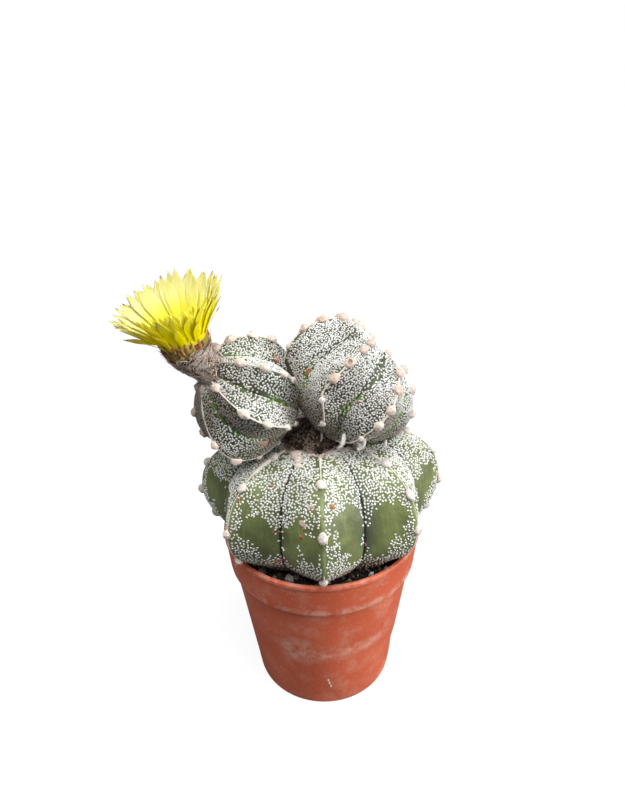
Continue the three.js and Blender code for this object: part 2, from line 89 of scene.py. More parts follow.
def lumps(points, size, seed):
    # smooth noise from -1 to 1: random values at the corners of cubes of that size, blended by s-curves
    place = points / size + seed * 17.31
    cell = np.floor(place)
    part = place - cell
    part = part * part * (3 - 2 * part)
    total = np.zeros(points.shape[:-1])
    for corner in np.ndindex(2, 2, 2):
        value = np.sin((cell + corner) @ np.array([127.1, 311.7, 74.7])) * 43758.5453
        weight = np.prod(np.where(np.array(corner) == 1, part, 1 - part), axis=-1)
        total += weight * (value - np.floor(value))
    return 2 * total - 1


def layeredLumps(points, size, seed, layers=3):
    # lumps of halving size and height added up
    return sum(lumps(points, size / 2 ** k, seed + k) / 2 ** k for k in range(layers))


def shaken(points, height, size, seed):
    # points moved by lumps along each axis
    return points + height * np.stack([layeredLumps(points, size, seed + k) for k in range(3)], axis=-1)


def throughPoints(points, share):
    # Catmull-Rom curve through evenly numbered points, share 0 at the first and 1 at the last
    points = np.asarray(points, float)
    place = np.clip(share, 0, 1) * (len(points) - 1)
    k = np.minimum(np.floor(place).astype(int), len(points) - 2)
    w = (place - k)[..., None]
    p0, p1, p2, p3 = (points[np.clip(k + step, 0, len(points) - 1)] for step in (-1, 0, 1, 2))
    v0 = (p2 - p0) / 2
    v1 = (p3 - p1) / 2
    return (2 * p1 - 2 * p2 + v0 + v1) * w ** 3 + (-3 * p1 + 3 * p2 - 2 * v0 - v1) * w ** 2 + v0 * w + p1


# Meshes

def makeObject(name, points, faceSets, material, smooth=True, **values):
    # points in millimetres, one array of corner numbers for each face size, and numbers or colours that
    # the material reads, one for each equal share of the points
    points = np.reshape(points, (-1, 3)) * mm
    sizes = np.concatenate([np.full(len(faces), faces.shape[1]) for faces in faceSets])
    corners = np.concatenate([faces.ravel() for faces in faceSets]).astype(np.int32)
    mesh = bpy.data.meshes.new(name)
    mesh.vertices.add(len(points))
    mesh.vertices.foreach_set("co", points.astype(np.float32).ravel())
    mesh.loops.add(len(corners))
    mesh.loops.foreach_set("vertex_index", corners)
    mesh.polygons.add(len(sizes))
    mesh.polygons.foreach_set("loop_start", (np.cumsum(sizes) - sizes).astype(np.int32))
    mesh.polygons.foreach_set("use_smooth", np.full(len(sizes), smooth))
    mesh.update(calc_edges=True)
    mesh.materials.append(material)
    for key, value in values.items():
        value = np.repeat(np.asarray(value, np.float32), len(points) // len(value), axis=0)
        kind, field = ("FLOAT", "value") if value.ndim == 1 else ("FLOAT_VECTOR", "vector")
        mesh.attributes.new(key, kind, "POINT").data.foreach_set(field, value.ravel())
    piece = bpy.data.objects.new(name, mesh)
    bpy.context.scene.collection.objects.link(piece)
    return piece


def settle(piece, slot, *nodes):
    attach(piece, "root")
    if nodes:
        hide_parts(*nodes)
    faces = sum(len(polygon.vertices) - 2 for polygon in piece.data.polygons)
    print("made", piece.name, "with", faces, "triangles")


def ringFaces(rows, cols):
    # quads between rows closed round their columns; outward where rows run down, columns anticlockwise
    i, j = np.meshgrid(np.arange(rows - 1), np.arange(cols), indexing="ij")
    k = (j + 1) % cols
    quads = [i * cols + j, (i + 1) * cols + j, (i + 1) * cols + k, i * cols + k]
    return np.stack(quads, axis=-1).reshape(-1, 4)


def closedFaces(rows, cols):
    # the same with a fan at each end, round two points that are numbered last
    j = np.arange(cols)
    k = (j + 1) % cols
    last = (rows - 1) * cols
    start = np.stack([np.full(cols, rows * cols), j, k], axis=-1)
    end = np.stack([np.full(cols, rows * cols + 1), last + k, last + j], axis=-1)
    return [ringFaces(rows, cols), np.concatenate([start, end])]


def withEnds(values):
    # values of many closed grids of one size, each with the mean of its first and of its last row added
    ends = np.stack([values[:, 0].mean(axis=1), values[:, -1].mean(axis=1)], axis=1)
    together = np.concatenate([values.reshape(len(values), -1, *values.shape[3:]), ends], axis=1)
    return together.reshape(-1, *values.shape[3:])


def closedSkin(grid):
    return withEnds(grid[None]), closedFaces(*grid.shape[:2])


def manyCopies(shape, faceSets, count):
    # the faces of so many copies of one shape, numbered one after another
    step = np.arange(count)[:, None, None] * shape
    return [(faces[None] + step).reshape(-1, faces.shape[1]) for faces in faceSets]


def ballRows(shares, sides):
    # rows of points on a ball, at those shares of the way from its top to its bottom
    polar = np.array(shares)[:, None] * np.pi
    return turned(np.sin(polar), circle(sides), np.cos(polar))


def thinLeaves(count, rows, cols):
    # rings for many closed leaves: share along one, place across it from -1 to 1 and back, and its side
    ring = np.concatenate([np.linspace(-1, 1, cols), np.linspace(1, -1, cols)])
    shape = (count, rows, 2 * cols)
    along = np.broadcast_to(np.linspace(0, 1, rows)[:, None], shape)
    across = np.broadcast_to(ring, shape)
    inner = np.broadcast_to(np.repeat([1.0, 0.0], cols), shape)
    return along, across, inner, manyCopies(rows * 2 * cols + 2, closedFaces(rows, 2 * cols), count)


def tubesAlong(paths, radii, sides):
    # round skins along n curves of k points each, closed by a point at both ends
    count, steps = paths.shape[:2]
    tangent = unit(np.gradient(paths, axis=1))
    chord = paths[:, -1] - paths[:, 0]
    upright = np.abs(chord[:, 2:]) > 0.8 * np.linalg.norm(chord, axis=1)[:, None]
    across = np.cross(chord, np.where(upright, [[1.0, 0.2, 0.0]], [[0.1, 0.2, 1.0]]))[:, None, :]
    side = unit(across - tangent * np.sum(across * tangent, axis=-1, keepdims=True))
    other = np.cross(tangent, side)
    turn = circle(sides)[:, None]
    ring = side[:, :, None] * np.cos(turn) + other[:, :, None] * np.sin(turn)
    rings = paths[:, :, None] + ring * radii[:, :, None, None]
    ends = np.stack([paths[:, 0] - tangent[:, 0] * radii[:, :1] * 0.5,
                     paths[:, -1] + tangent[:, -1] * radii[:, -1:] * 0.5], axis=1)
    points = np.concatenate([rings.reshape(count, steps * sides, 3), ends], axis=1)
    faces = [faces[:, ::-1] for faces in closedFaces(steps, sides)]
    return points.reshape(-1, 3), manyCopies(steps * sides + 2, faces, count)


def placeTubes(name, paths, radii, sides, material, tint, slot, *nodes, move=None):
    # tubes as one piece, each with its colour; move is a function for a last change of their points
    points, faceSets = tubesAlong(paths, radii, sides)
    if move:
        points = move(points)
    settle(makeObject(name, points, faceSets, material, tint=tint), slot, *nodes)


def curledHairs(roots, directions, lengths, curl, steps, seed):
    # a hair starts along its direction and sways round it in two sines that grow towards its tip
    random = np.random.default_rng(seed)
    count = len(roots)
    share = np.linspace(0, 1, steps)[None, :, None]
    forward = unit(directions)[:, None, :]
    side = unit(np.cross(forward, random.normal(size=(count, 1, 3))))
    waves = random.uniform(0.5, 1.6, (count, 1, 1)) * 2 * np.pi
    phase = random.uniform(0, 2 * np.pi, (count, 1, 1))
    far = np.broadcast_to(lengths, (count,))[:, None, None] * share
    bend = side * (np.sin(waves * share + phase) - np.sin(phase))
    bend = bend + np.cross(forward, side) * (np.cos(waves * share + phase) - np.cos(phase))
    return roots[:, None, :] + forward * far + bend * curl * far


def evenlySpaced(points, spacing, seed):
    # thins a crowd of points until none lies nearer to another than the spacing between them:
    # in each round a point stays if it outranks all its near neighbours, and those leave
    random = np.random.default_rng(seed)
    cell = np.floor(points / spacing.max()).astype(np.int64)
    cell -= cell.min(axis=0) - 1
    span = cell.max(axis=0) + 2
    key = (cell[:, 0] * span[1] + cell[:, 1]) * span[2] + cell[:, 2]
    order = np.argsort(key, kind="stable")
    key, place, room = key[order], points[order], spacing[order]
    rank = random.permutation(len(points))
    firsts, seconds = [], []
    for dx, dy, dz in np.ndindex(3, 3, 3):
        beside = key + ((dx - 1) * span[1] + dy - 1) * span[2] + dz - 1
        start = np.searchsorted(key, beside, "left")
        stop = np.searchsorted(key, beside, "right")
        for step in range(int((stop - start).max())):
            i = np.nonzero(start + step < stop)[0]
            j = start[i] + step
            close = (j > i) & (np.linalg.norm(place[i] - place[j], axis=1) < (room[i] + room[j]) / 2)
            firsts.append(i[close])
            seconds.append(j[close])
    first, second = np.concatenate(firsts), np.concatenate(seconds)
    waiting = np.ones(len(points), bool)
    kept = np.zeros(len(points), bool)
    while waiting.any():
        live = waiting[first] & waiting[second]
        first, second = first[live], second[live]
        beaten = np.zeros(len(points), bool)
        beaten[first[rank[second] < rank[first]]] = True
        beaten[second[rank[first] < rank[second]]] = True
        winners = waiting & ~beaten
        kept |= winners
        waiting &= ~winners
        waiting[second[winners[first]]] = False
        waiting[first[winners[second]]] = False
    return order[kept]


def pickTints(random, kinds, shares, count, shades):
    # one of the kinds for each, by its share, a little darker or lighter
    return np.array(kinds)[random.choice(len(kinds), count, p=shares)] * random.uniform(*shades, (count, 1))


# Materials

def feed(tree, socket, value):
    # a socket gets a link from another socket, or its own value
    if isinstance(value, bpy.types.NodeSocket):
        tree.links.new(value, socket)
    elif isinstance(value, (tuple, list)) and len(value) == 3 and socket.type == "RGBA":
        socket.default_value = (*value, 1)
    else:
        socket.default_value = value


def addNode(tree, kind, inputs, output=0, **settings):
    node = tree.nodes.new("ShaderNode" + kind)
    for key, value in settings.items():
        setattr(node, key, value)
    for key, value in inputs.items():
        feed(tree, node.inputs[key], value)
    return node.outputs[output]


def objectPlace(tree):
    return addNode(tree, "TexCoord", {}, "Object")


def pointValue(tree, name, output="Fac"):
    return addNode(tree, "Attribute", {}, output, attribute_name=name)


def noise(tree, scale, detail=3.0, rough=0.55, distortion=0.0, place=None):
    inputs = {"Vector": place or objectPlace(tree), "Scale": scale, "Detail": detail, "Roughness": rough,
              "Distortion": distortion}
    return addNode(tree, "TexNoise", inputs)


def fromTo(tree, value, low, high, start=0.0, end=1.0):
    inputs = {"Value": value, "From Min": low, "From Max": high, "To Min": start, "To Max": end}
    return addNode(tree, "MapRange", inputs, interpolation_type="SMOOTHSTEP")


def cloud(tree, scale, detail, low, high, start=0.0, end=1.0, **shape):
    # noise turned into a share
    return fromTo(tree, noise(tree, scale, detail, **shape), low, high, start, end)


def combine(tree, operation, first, *others):
    for other in others:
        first = addNode(tree, "Math", {0: first, 1: other}, operation=operation, use_clamp=True)
    return first


def times(tree, *values):
    return combine(tree, "MULTIPLY", *values)


def mixed(tree, share, first, second):
    return addNode(tree, "Mix", {0: share, 6: first, 7: second}, 2, data_type="RGBA")


def layered(tree, color, *layers):
    # colours laid over the first one, each by its share
    for share, over in layers:
        color = mixed(tree, share, color, over)
    return color


def bumped(tree, height, distance, strength=1.0, before=None):
    inputs = {"Height": height, "Distance": distance, "Strength": strength}
    if before is not None:
        inputs["Normal"] = before
    return addNode(tree, "Bump", inputs)


def newMaterial(name):
    material = bpy.data.materials.new(name)
    material.use_nodes = True
    return material, material.node_tree


def finished(material, color, inputs):
    tree = material.node_tree
    shader = tree.nodes["Principled BSDF"]
    for key, value in {"Base Color": color, **inputs}.items():
        feed(tree, shader.inputs[key], value)
    return material


# Camera, floor and light

view = {"target": (-2.2, 0, 139), "distance": 243, "elevation": 25.9, "roll": 1.7, "focalPixels": 607,
        "pictureHeight": 794, "sensor": 36}
floor = {"rings": [0.1, 0.3, 0.8, 2.0, 5.0, 12.0], "sides": 64, "color": (0.2, 0.2, 0.2), "glow": 0.84,
         "plainWithin": 0.5, "brightFrom": 1.6}
lights = {
    "overhead": {"place": (0.0, -0.25, 1.0), "aim": (0, 0, 0.13), "size": 0.7, "power": 11.4},
    "side": {"place": (0.98, -0.29, 0.34), "aim": (0, 0, 0.1), "size": 0.5, "power": 12.2},
    "left": {"place": (-0.75, -0.2, 0.9), "aim": (0, 0, 0.12), "size": 0.6, "power": 1.5},
}
ambient = 0.215


def placeCamera():
    # looks at the target from the front, from above by its elevation, turned a little about its own axis
    tilt, roll = np.radians(view["elevation"]), np.radians(view["roll"])
    back = np.array([0, -np.cos(tilt), np.sin(tilt)])
    right = np.array([1.0, 0, 0])
    up = np.cross(back, right)
    x = np.cos(roll) * right - np.sin(roll) * up
    y = np.sin(roll) * right + np.cos(roll) * up
    place = (np.array(view["target"]) + view["distance"] * back) * mm
    data = bpy.data.cameras.new("camera")
    data.sensor_width = view["sensor"]
    data.lens = view["sensor"] * view["focalPixels"] / view["pictureHeight"]
    data.clip_start = 0.01
    camera = bpy.data.objects.new("camera", data)
    camera.matrix_world = Matrix([*np.column_stack([x, y, back, place]).tolist(), [0, 0, 0, 1]])
    bpy.context.scene.collection.objects.link(camera)
    bpy.context.scene.camera = camera


def placeFloor():
    # a pale disc under the pot that turns to plain white far away, so that it has no horizon; the camera
    # sees it brighter than the light that it sends back up, so that shadows on it stay faint
    material, tree = newMaterial("pale_floor")
    far = addNode(tree, "VectorMath", {0: objectPlace(tree)}, "Value", operation="LENGTH")
    glow = fromTo(tree, far, floor["plainWithin"], floor["brightFrom"], floor["glow"], 1.0)
    seen = addNode(tree, "LightPath", {}, "Is Camera Ray")
    finished(material, floor["color"], {
        "Roughness": 1.0, "Specular IOR Level": 0.0, "Emission Color": (1, 1, 1),
        "Emission Strength": times(tree, glow, seen),
    })
    sides = floor["sides"]
    rings = turned(np.array(floor["rings"])[:, None] / mm, circle(sides), 0.0)
    points = np.concatenate([rings.reshape(-1, 3), [[0, 0, 0]]])
    j = np.arange(sides)
    centre = np.stack([np.full(sides, len(points) - 1), j, (j + 1) % sides], axis=-1)
    sheet = makeObject("floor", points, [ringFaces(len(rings), sides), centre], material, False)


def placeLights():
    # the camera sees a white world, which lights the plant only by the ambient share
    world = bpy.data.worlds.new("studio")
    bpy.context.scene.world = world
    world.use_nodes = True
    tree = world.node_tree
    seen = addNode(tree, "LightPath", {}, "Is Camera Ray")
    strength = addNode(tree, "MapRange", {"Value": seen, "To Min": ambient, "To Max": 1.0})
    feed(tree, tree.nodes["Background"].inputs["Color"], (1, 1, 1))
    feed(tree, tree.nodes["Background"].inputs["Strength"], strength)
    for name, setting in lights.items():
        data = bpy.data.lights.new(name, "AREA")
        data.energy = setting["power"]
        data.size = setting["size"]
        light = bpy.data.objects.new(name, data)
        light.location = setting["place"]
        light.rotation_euler = (Vector(setting["aim"]) - light.location).to_track_quat("-Z", "Y").to_euler()
        bpy.context.scene.collection.objects.link(light)


bpy.context.scene.view_settings.view_transform = "Standard"
placeCamera()
placeFloor()
placeLights()
print("camera, floor and lights are in place")


# Ribbed heads: the main stem and its two offsets

ribShape = {"face": 0.9, "fullness": 0.38, "creasePower": 12, "crestRound": 0.012, "crowding": 0.55}

# crest: radius and height along a rib; furrow: how deep it is there, as a share of the radius;
# reach: distance along the crest from the cut edge, or degrees from an offset's crown
mainStem = {
    "crest": [
        [0, 49.5], [5.5, 48.5], [9.5, 45.3], [13, 41.8], [16.5, 41.2], [19.2, 43.2], [21.5, 44.2],
        [33, 42.6], [40, 39.5], [46, 34], [49.5, 27], [50.5, 19.5], [49.5, 12.5], [46, 6],
        [41, 1.5], [36, -3.8], [29, -7.5], [19, -10], [12, -14], [9.5, -22], [8.5, -29], [0, -30],
    ],
    "furrow": [
        0, 0, 0, 0.035, 0.075, 0.105, 0.13,
        0.155, 0.175, 0.19, 0.195, 0.195, 0.185, 0.17,
        0.155, 0.14, 0.12, 0.09, 0.04, 0, 0, 0,
    ],
    "ribAngles": [-90 + 45 * k for k in range(8)], "rise": 0.04, "shoulder": 44.2, "cutPoint": 5,
    "areoles": [
        [3, 17, 36.5, 61], [2, 16.5, 31, 45.5], *[[4, 17.5, 32, 46.5, 60.5]] * 5, [6.5, 24, 43.5, 60],
    ],
    "rows": 156, "ribColumns": 34, "unevenness": 0.35, "seed": 3,
}
leftOffset = {
    "centre": [-28.3, -7.6, 64.4], "azimuth": -159.5, "elevation": 28.7, "radius": 24.4, "halfHeight": 20.8,
    "lowerStretch": 1.06, "pinch": 1.25, "lean": [5.5, 0.4], "furrowDepth": 0.24,
    "ribAngles": [5, -43, -89, -145, -197, -250, -302],
    "areoles": [
        [29, 47, 71, 93, 116, 139], [53, 77, 98, 110, 132], [35, 68, 93.5, 120, 141],
        [20, 66, 93, 117, 141], [22, 47, 71, 94, 118, 140], [27, 44, 69, 95, 118, 142],
        [25, 48, 70, 91, 117, 140],
    ],
    "rows": 104, "ribColumns": 32, "unevenness": 0.25, "seed": 11,
}
rightOffset = {
    "centre": [12.6, 1.2, 65], "azimuth": 13.9, "elevation": 42.5, "radius": 30.3, "halfHeight": 21.8,
    "lowerStretch": 1.0, "pinch": 0.96, "lean": [2.3, -0.9], "furrowDepth": 0.23,
    "ribAngles": [-1, 51, 97, 167, 215, 263, 311],
    "areoles": [
        [22, 41, 60, 80, 103, 130], [37, 51, 70, 90.5, 114, 135], [40, 56, 75.5, 94, 116, 139],
        [27, 45, 68, 92, 118, 142], [21, 42, 65, 90, 116, 141], [24, 46, 67, 93, 119, 143],
        [26, 44, 66, 89, 117, 142],
    ],
    "rows": 104, "ribColumns": 32, "unevenness": 0.25, "seed": 23,
    "swerve": {"angle": 60, "width": 35, "turn": 20, "reach": (104, 138)},
}
heads = {"main": mainStem, "left": leftOffset, "right": rightOffset}
offsetShape = {"reach": (2, 157), "dimple": 0.24, "dimpleWidth": 20, "wornFrom": (93, 101), "worn": 0.65}


def acrossRib(angle, ribAngles):
    # 0 on a crest, 1 in a furrow, by the share of the way between two crests
    crests = np.sort(np.asarray(ribAngles, float) % 360)
    crests = np.append(crests, crests[0] + 360)
    degrees = (np.degrees(angle) - crests[0]) % 360 + crests[0]
    k = np.clip(np.searchsorted(crests, degrees, "right") - 1, 0, len(crests) - 2)
    share = (degrees - crests[k]) / (crests[k + 1] - crests[k])
    return 1 - np.abs(2 * share - 1)


def furrowShape(across):
    # a nearly flat face from a slightly rounded crest, with a crease at the furrow
    rounded = np.clip(np.sqrt(across ** 2 + ribShape["crestRound"] ** 2) - ribShape["crestRound"], 0, 1)
    face = rounded * (1 + ribShape["fullness"] * (1 - rounded))
    return ribShape["face"] * face + (1 - ribShape["face"]) * across ** ribShape["creasePower"]


def ribColumns(head):
    # angles round the head, closer together at crests and furrows
    crests = np.sort(np.asarray(head["ribAngles"], float) % 360)
    gaps = np.diff(np.append(crests, crests[0] + 360))
    x = np.arange(head["ribColumns"]) / head["ribColumns"]
    share = x - ribShape["crowding"] * np.sin(4 * np.pi * x) / (4 * np.pi)
    return np.radians((crests[:, None] + gaps[:, None] * share).ravel())


def mainSurface(share, angle):
    # the crest line turned about the pot's axis, sunk towards the furrows, a little higher on the right
    line = throughPoints(mainStem["crest"], share)
    last = len(mainStem["furrow"]) - 1
    depth = np.interp(share * last, np.arange(last + 1), mainStem["furrow"])
    r = np.maximum(line[..., 0], 0) * (1 - depth * furrowShape(acrossRib(angle, mainStem["ribAngles"])))
    rise = mainStem["rise"] * r * np.cos(angle) * np.maximum(line[..., 1], 0) / mainStem["shoulder"]
    return turned(r, angle, line[..., 1] + rise + rimHeight)


def uprightAxes(axis):
    # three axes as rows: the first as near +Z as it can be, the last along the given direction
    w = unit(np.asarray(axis, float))
    u = unit(np.array([0, 0, 1.0]) - w * w[..., 2:])
    return np.stack([u, np.cross(w, u), w], axis=-2)


def headAxes(head):
    elevation = np.radians(head["elevation"])
    return uprightAxes(turned(np.cos(elevation), np.radians(head["azimuth"]), np.sin(elevation)))


def offsetSurface(head, degrees, angle):
    # an oblate ribbed globe with a dimpled crown that leans sideways, in its own axes, then placed
    polar = np.radians(degrees)
    r = head["radius"] * np.maximum(np.sin(polar), 0) ** head["pinch"]
    along = head["halfHeight"] * np.cos(polar) * np.where(degrees > 90, head["lowerStretch"], 1)
    dimple = offsetShape["dimple"] * head["halfHeight"] * bell(degrees, 0, offsetShape["dimpleWidth"])
    depth = head["furrowDepth"] * (0.3 + 0.7 * smoothStep(0, 35, degrees))
    depth = depth * (1 - 0.4 * smoothStep(115, 155, degrees))
    r = r * (1 - depth * furrowShape(acrossRib(angle, head["ribAngles"])))
    if "swerve" in head:
        swerve = head["swerve"]
        beside = bell(np.degrees(angle) % 360, swerve["angle"], swerve["width"])
        angle = angle + np.radians(swerve["turn"]) * smoothStep(*swerve["reach"], degrees) * beside
    lean = np.clip(along / head["halfHeight"], 0, 1)[..., None] ** 2 * [*head["lean"], 0]
    return (turned(r, angle, along - dimple) + lean) @ headAxes(head) + head["centre"] + rimPoint


# distance along the crest line of the main stem from the cut edge, for shares of that line
crestShare = np.linspace(0, 1, 4000)
crestSteps = np.linalg.norm(np.diff(throughPoints(mainStem["crest"], crestShare), axis=0), axis=1)
crestReach = np.concatenate([[0], np.cumsum(crestSteps)])
cutShare = mainStem["cutPoint"] / (len(mainStem["crest"]) - 1)
crestReach = crestReach - np.interp(cutShare, crestShare, crestReach)


def surfaceOf(key, reach, angle):
    reach, angle = np.broadcast_arrays(np.asarray(reach, float), np.asarray(angle, float))
    if key == "main":
        return mainSurface(np.interp(reach, crestReach, crestShare), angle)
    return offsetSurface(heads[key], reach, angle)


def placeOn(key, reach, angle):
    # the point and the outward direction there
    down = surfaceOf(key, reach + 0.4, angle) - surfaceOf(key, reach - 0.4, angle)
    side = surfaceOf(key, reach, angle + 0.01) - surfaceOf(key, reach, angle - 0.01)
    return surfaceOf(key, reach, angle), unit(np.cross(down, side))


def gridNormals(grid):
    # outward normals of a grid closed round its columns
    around = np.roll(grid, -1, axis=1) - np.roll(grid, 1, axis=1)
    return unit(np.cross(np.gradient(grid, axis=0), around))


def makeSkin(key):
    # the grid of a head, with soft lumps along its normals that are lower at the crests, and what the
    # material and the flecks need to know of each point
    head = heads[key]
    reaches = np.linspace(*offsetShape["reach"], head["rows"])
    if key == "main":
        reaches = np.linspace(crestReach[0], crestReach[-1], head["rows"])[1:-1]
    reach, angle = np.meshgrid(reaches, ribColumns(head), indexing="ij")
    points = surfaceOf(key, reach, angle)
    across = acrossRib(angle, head["ribAngles"])
    swell = layeredLumps(points, 7, head["seed"]) * head["unevenness"]
    swell = swell * (0.35 + 0.65 * smoothStep(0, 0.3, across))
    points = points + gridNormals(points) * swell[..., None]
    return {"points": points, "normals": gridNormals(points), "reach": reach, "across": across,
            "flow": turned(30, angle, 0.12 * reach), "around": turned(1, angle, 0.0)}


def skinMaterial(name, look):
    # waxy green skin: broad mottling, streaks that run along the ribs, a strip towards the furrows, paler
    # skin beside the crests that is partly a painted highlight, creases darkened with painted shade, and
    # corky places
    material, tree = newMaterial(name)
    flow = pointValue(tree, "flow", "Vector")
    across = pointValue(tree, "across")
    cork = pointValue(tree, "cork")
    # a strip of the look's own colour towards each furrow: on the main stem a greyer, darker green that is
    # painted shade near the creases; on the offsets the bright green skin of the furrows
    strip = times(tree, fromTo(tree, across, look["stripFrom"], 0.96), cloud(tree, 45, 2, 0.42, 0.55))
    # paler green beside the crests: the bare skin there, partly a painted highlight where the crests catch
    # the light
    edge = times(tree, fromTo(tree, across, 0.01, 0.075, 0.75, 0.0), cloud(tree, 90, 3, 0.3, 0.5))
    green = layered(
        tree, look["dark"],
        (cloud(tree, 70, 4, 0.35, 0.68), look["green"]),
        (cloud(tree, 1.1, 5, 0.52, 0.78, 0.0, 0.55, rough=0.6, place=flow), look["light"]),
        (cloud(tree, 420, 3, 0.55, 0.75, 0.0, 0.35), look["dark"]),
        (strip, look["strip"]), (edge, look["edge"]),
        # creases darkened nearly to black: painted shade where the rib faces meet
        (fromTo(tree, across, 0.955, 0.982, 0.0, look["crease"]), look["creaseShadeColor"]))
    brown = mixed(tree, cloud(tree, 260, 6, 0.4, 0.65, rough=0.7), look["corkDark"], look["corkPale"])
    grain = bumped(tree, noise(tree, 900), 0.0004, 0.35)
    scurf = bumped(tree, times(tree, noise(tree, 420, 6, 0.75), cork), 0.0016, 0.8, grain)
    return finished(material, mixed(tree, cork, green, brown), {
        "Roughness": fromTo(tree, cork, 0.0, 1.0, 0.5, 0.95), "Specular IOR Level": 0.35,
        "Normal": bumped(tree, noise(tree, 2.5, place=flow), 0.0006, 0.3, scurf),
    })


# the main stem's strip colour is painted shade towards the furrows
mainLook = {
    "dark": (0.095, 0.113, 0.042), "green": (0.172, 0.205, 0.068), "light": (0.255, 0.30, 0.115),
    "strip": (0.10, 0.115, 0.07), "stripFrom": 0.62, "crease": 0.97, "creaseShadeColor": (0.012, 0.013, 0.009),
    "edge": (0.24, 0.30, 0.12), "corkDark": (0.035, 0.022, 0.015), "corkPale": (0.22, 0.15, 0.11),
}
# the offsets' darker greens are partly their own colour, partly painted shade between their dense flecks
offsetLook = {
    "dark": (0.04, 0.046, 0.028), "green": (0.068, 0.082, 0.042), "light": (0.11, 0.13, 0.065),
    "strip": (0.15, 0.25, 0.045), "stripFrom": 0.74, "crease": 0.7, "creaseShadeColor": (0.03, 0.045, 0.013),
    "edge": (0.10, 0.15, 0.045), "corkDark": (0.06, 0.045, 0.035), "corkPale": (0.28, 0.20, 0.16),
}


def mainCork(skin):
    # corky inside the cut and along the lower margin
    ragged = 1.6 * layeredLumps(skin["points"], 4, 31)
    inside = 1 - smoothStep(-2.2, -0.6, skin["reach"] + ragged * 0.5)
    return np.maximum(inside, smoothStep(58, 65, skin["reach"] + 2 * ragged))


def offsetCork(skin):
    # corky at the base, where an offset grows from the stem
    return smoothStep(138, 150, skin["reach"] + 5 * layeredLumps(skin["points"], 4, 37))


skins = {key: makeSkin(key) for key in heads}

for key, node, look, corkOf in (
        ("main", "main_stem", mainLook, mainCork), ("left", "left_offset", offsetLook, offsetCork),
        ("right", "right_offset", offsetLook, offsetCork)):
    skin = skins[key]
    values = {"across": skin["across"], "flow": skin["flow"], "cork": corkOf(skin)}
    values = {name: withEnds(value[None]) for name, value in values.items()}
    material = skinMaterial(node + "_skin", look)
    settle(makeObject(node + "_skin", *closedSkin(skin["points"]), material, **values), "stem", node)


# Woolly flecks on the skins

flecks = {
    "main": {"spacing": 0.86, "length": (0.44, 0.68), "width": 0.44, "height": 0.28, "crowd": 120000,
             "seed": 5, "denserFrom": (30, 42), "denser": 0.12},
    "left": {"spacing": 0.75, "length": (0.45, 0.72), "width": 0.385, "height": 0.25, "crowd": 80000,
             "seed": 6, "denserFrom": (60, 82), "denser": 0.0},
    "right": {"spacing": 0.76, "length": (0.45, 0.72), "width": 0.395, "height": 0.25, "crowd": 110000,
              "seed": 7, "denserFrom": (60, 82), "denser": 0.09},
}
fleckSides = 5
lowestFleck = 75


def pickOnSkin(skin, count, random):
    # places spread by area over the quads of a skin, with all that the grid knows blended to them
    points = skin["points"]
    a, b, c = points[:-1], np.roll(points, -1, axis=1)[:-1], points[1:]
    area = np.linalg.norm(np.cross(b - a, c - a), axis=-1)
    chosen = random.choice(area.size, count, p=area.ravel() / area.sum())
    i, j = np.divmod(chosen, area.shape[1])
    k = (j + 1) % area.shape[1]
    u, v = random.random((2, count))
    picked = {}
    for key, values in skin.items():
        shape = (count,) + (1,) * (values.ndim - 2)
        s, t = u.reshape(shape), v.reshape(shape)
        top = values[i, j] * (1 - s) + values[i, k] * s
        picked[key] = top * (1 - t) + (values[i + 1, j] * (1 - s) + values[i + 1, k] * s) * t
    return picked


def inOffset(points, head, share):
    # true for points well inside an offset, taken as a spheroid of that share of its size
    local = (points - head["centre"] - rimPoint) @ headAxes(head).T
    flat = np.hypot(local[:, 0], local[:, 1]) / (share * head["radius"])
    return flat ** 2 + (local[:, 2] / (share * head["halfHeight"])) ** 2 < 1


def mainCover(spot):
    # how much of the main stem's skin the flecks cover: bare faces low on each rib, flecks again beside the
    # crests and along the lower margin, clean strips by the crests, and fewer on the shaded side of the
    # front crest, at the top corners of the ribs, in small gaps and in the furrows
    reach, across = spot["reach"], spot["across"]
    broad = layeredLumps(spot["points"], 11, 41)
    fine = layeredLumps(spot["points"], 4.5, 43)
    wavy = reach + 3 * fine + 4 * broad
    angle = np.degrees(np.arctan2(spot["around"][:, 1], spot["around"][:, 0]))
    start = 34 + 4 * broad + 3 * smoothStep(0.6, 1, across) - 7 * bell(angle, -78, 9)
    strip = 0.13 - 0.3 * bell(angle, -97, 8) + 0.1 * bell(angle, -83, 6)
    bare = smoothStep(start - 1.5, start + 1.5, reach + 2.5 * fine)
    bare = bare * smoothStep(strip, strip + 0.1, across + 0.08 * fine)
    again = smoothStep(45, 49, wavy) * (1 - smoothStep(0.35, 0.6, across + 0.1 * fine))
    again = np.maximum(again, smoothStep(54, 58, wavy))
    shade = bell(angle, -93, 3) * smoothStep(1, 4, reach) * (1 - smoothStep(26, 34, reach))
    margin = (1 - smoothStep(0.035, 0.085, across)) * smoothStep(2, 5, reach)
    corner = (1 - smoothStep(3.5, 5.5, reach + 2 * fine)) * (1 - smoothStep(0.4, 0.6, across + 0.15 * fine))
    gaps = smoothStep(0.6, 0.8, fine + 0.35 * broad)
    cover = (1 - bare * (1 - again)) * (1 - margin) * (1 - 0.9 * corner)
    cover = cover * (1 - 0.9 * gaps) * (1 - 0.85 * shade)
    furrow = 0.45 * smoothStep(0.88, 0.93, across) * (1 - 0.85 * smoothStep(29, 37, reach))
    return np.maximum(cover, furrow) * (1 - 0.9 * smoothStep(0.955, 0.97, across))


def offsetCover(spot):
    # flecks everywhere but along the furrows' bare strips and in gaps at the crests
    broad = layeredLumps(spot["points"], 10, 47)
    strip = smoothStep(0.8, 0.86, spot["across"] + 0.14 * broad) * smoothStep(-0.5, -0.15, broad)
    patchy = smoothStep(-0.15, 0.15, layeredLumps(spot["points"], 6, 53))
    edge = (1 - smoothStep(0.06, 0.1, spot["across"])) * patchy
    return (1 - 0.93 * strip) * (1 - 0.95 * edge)


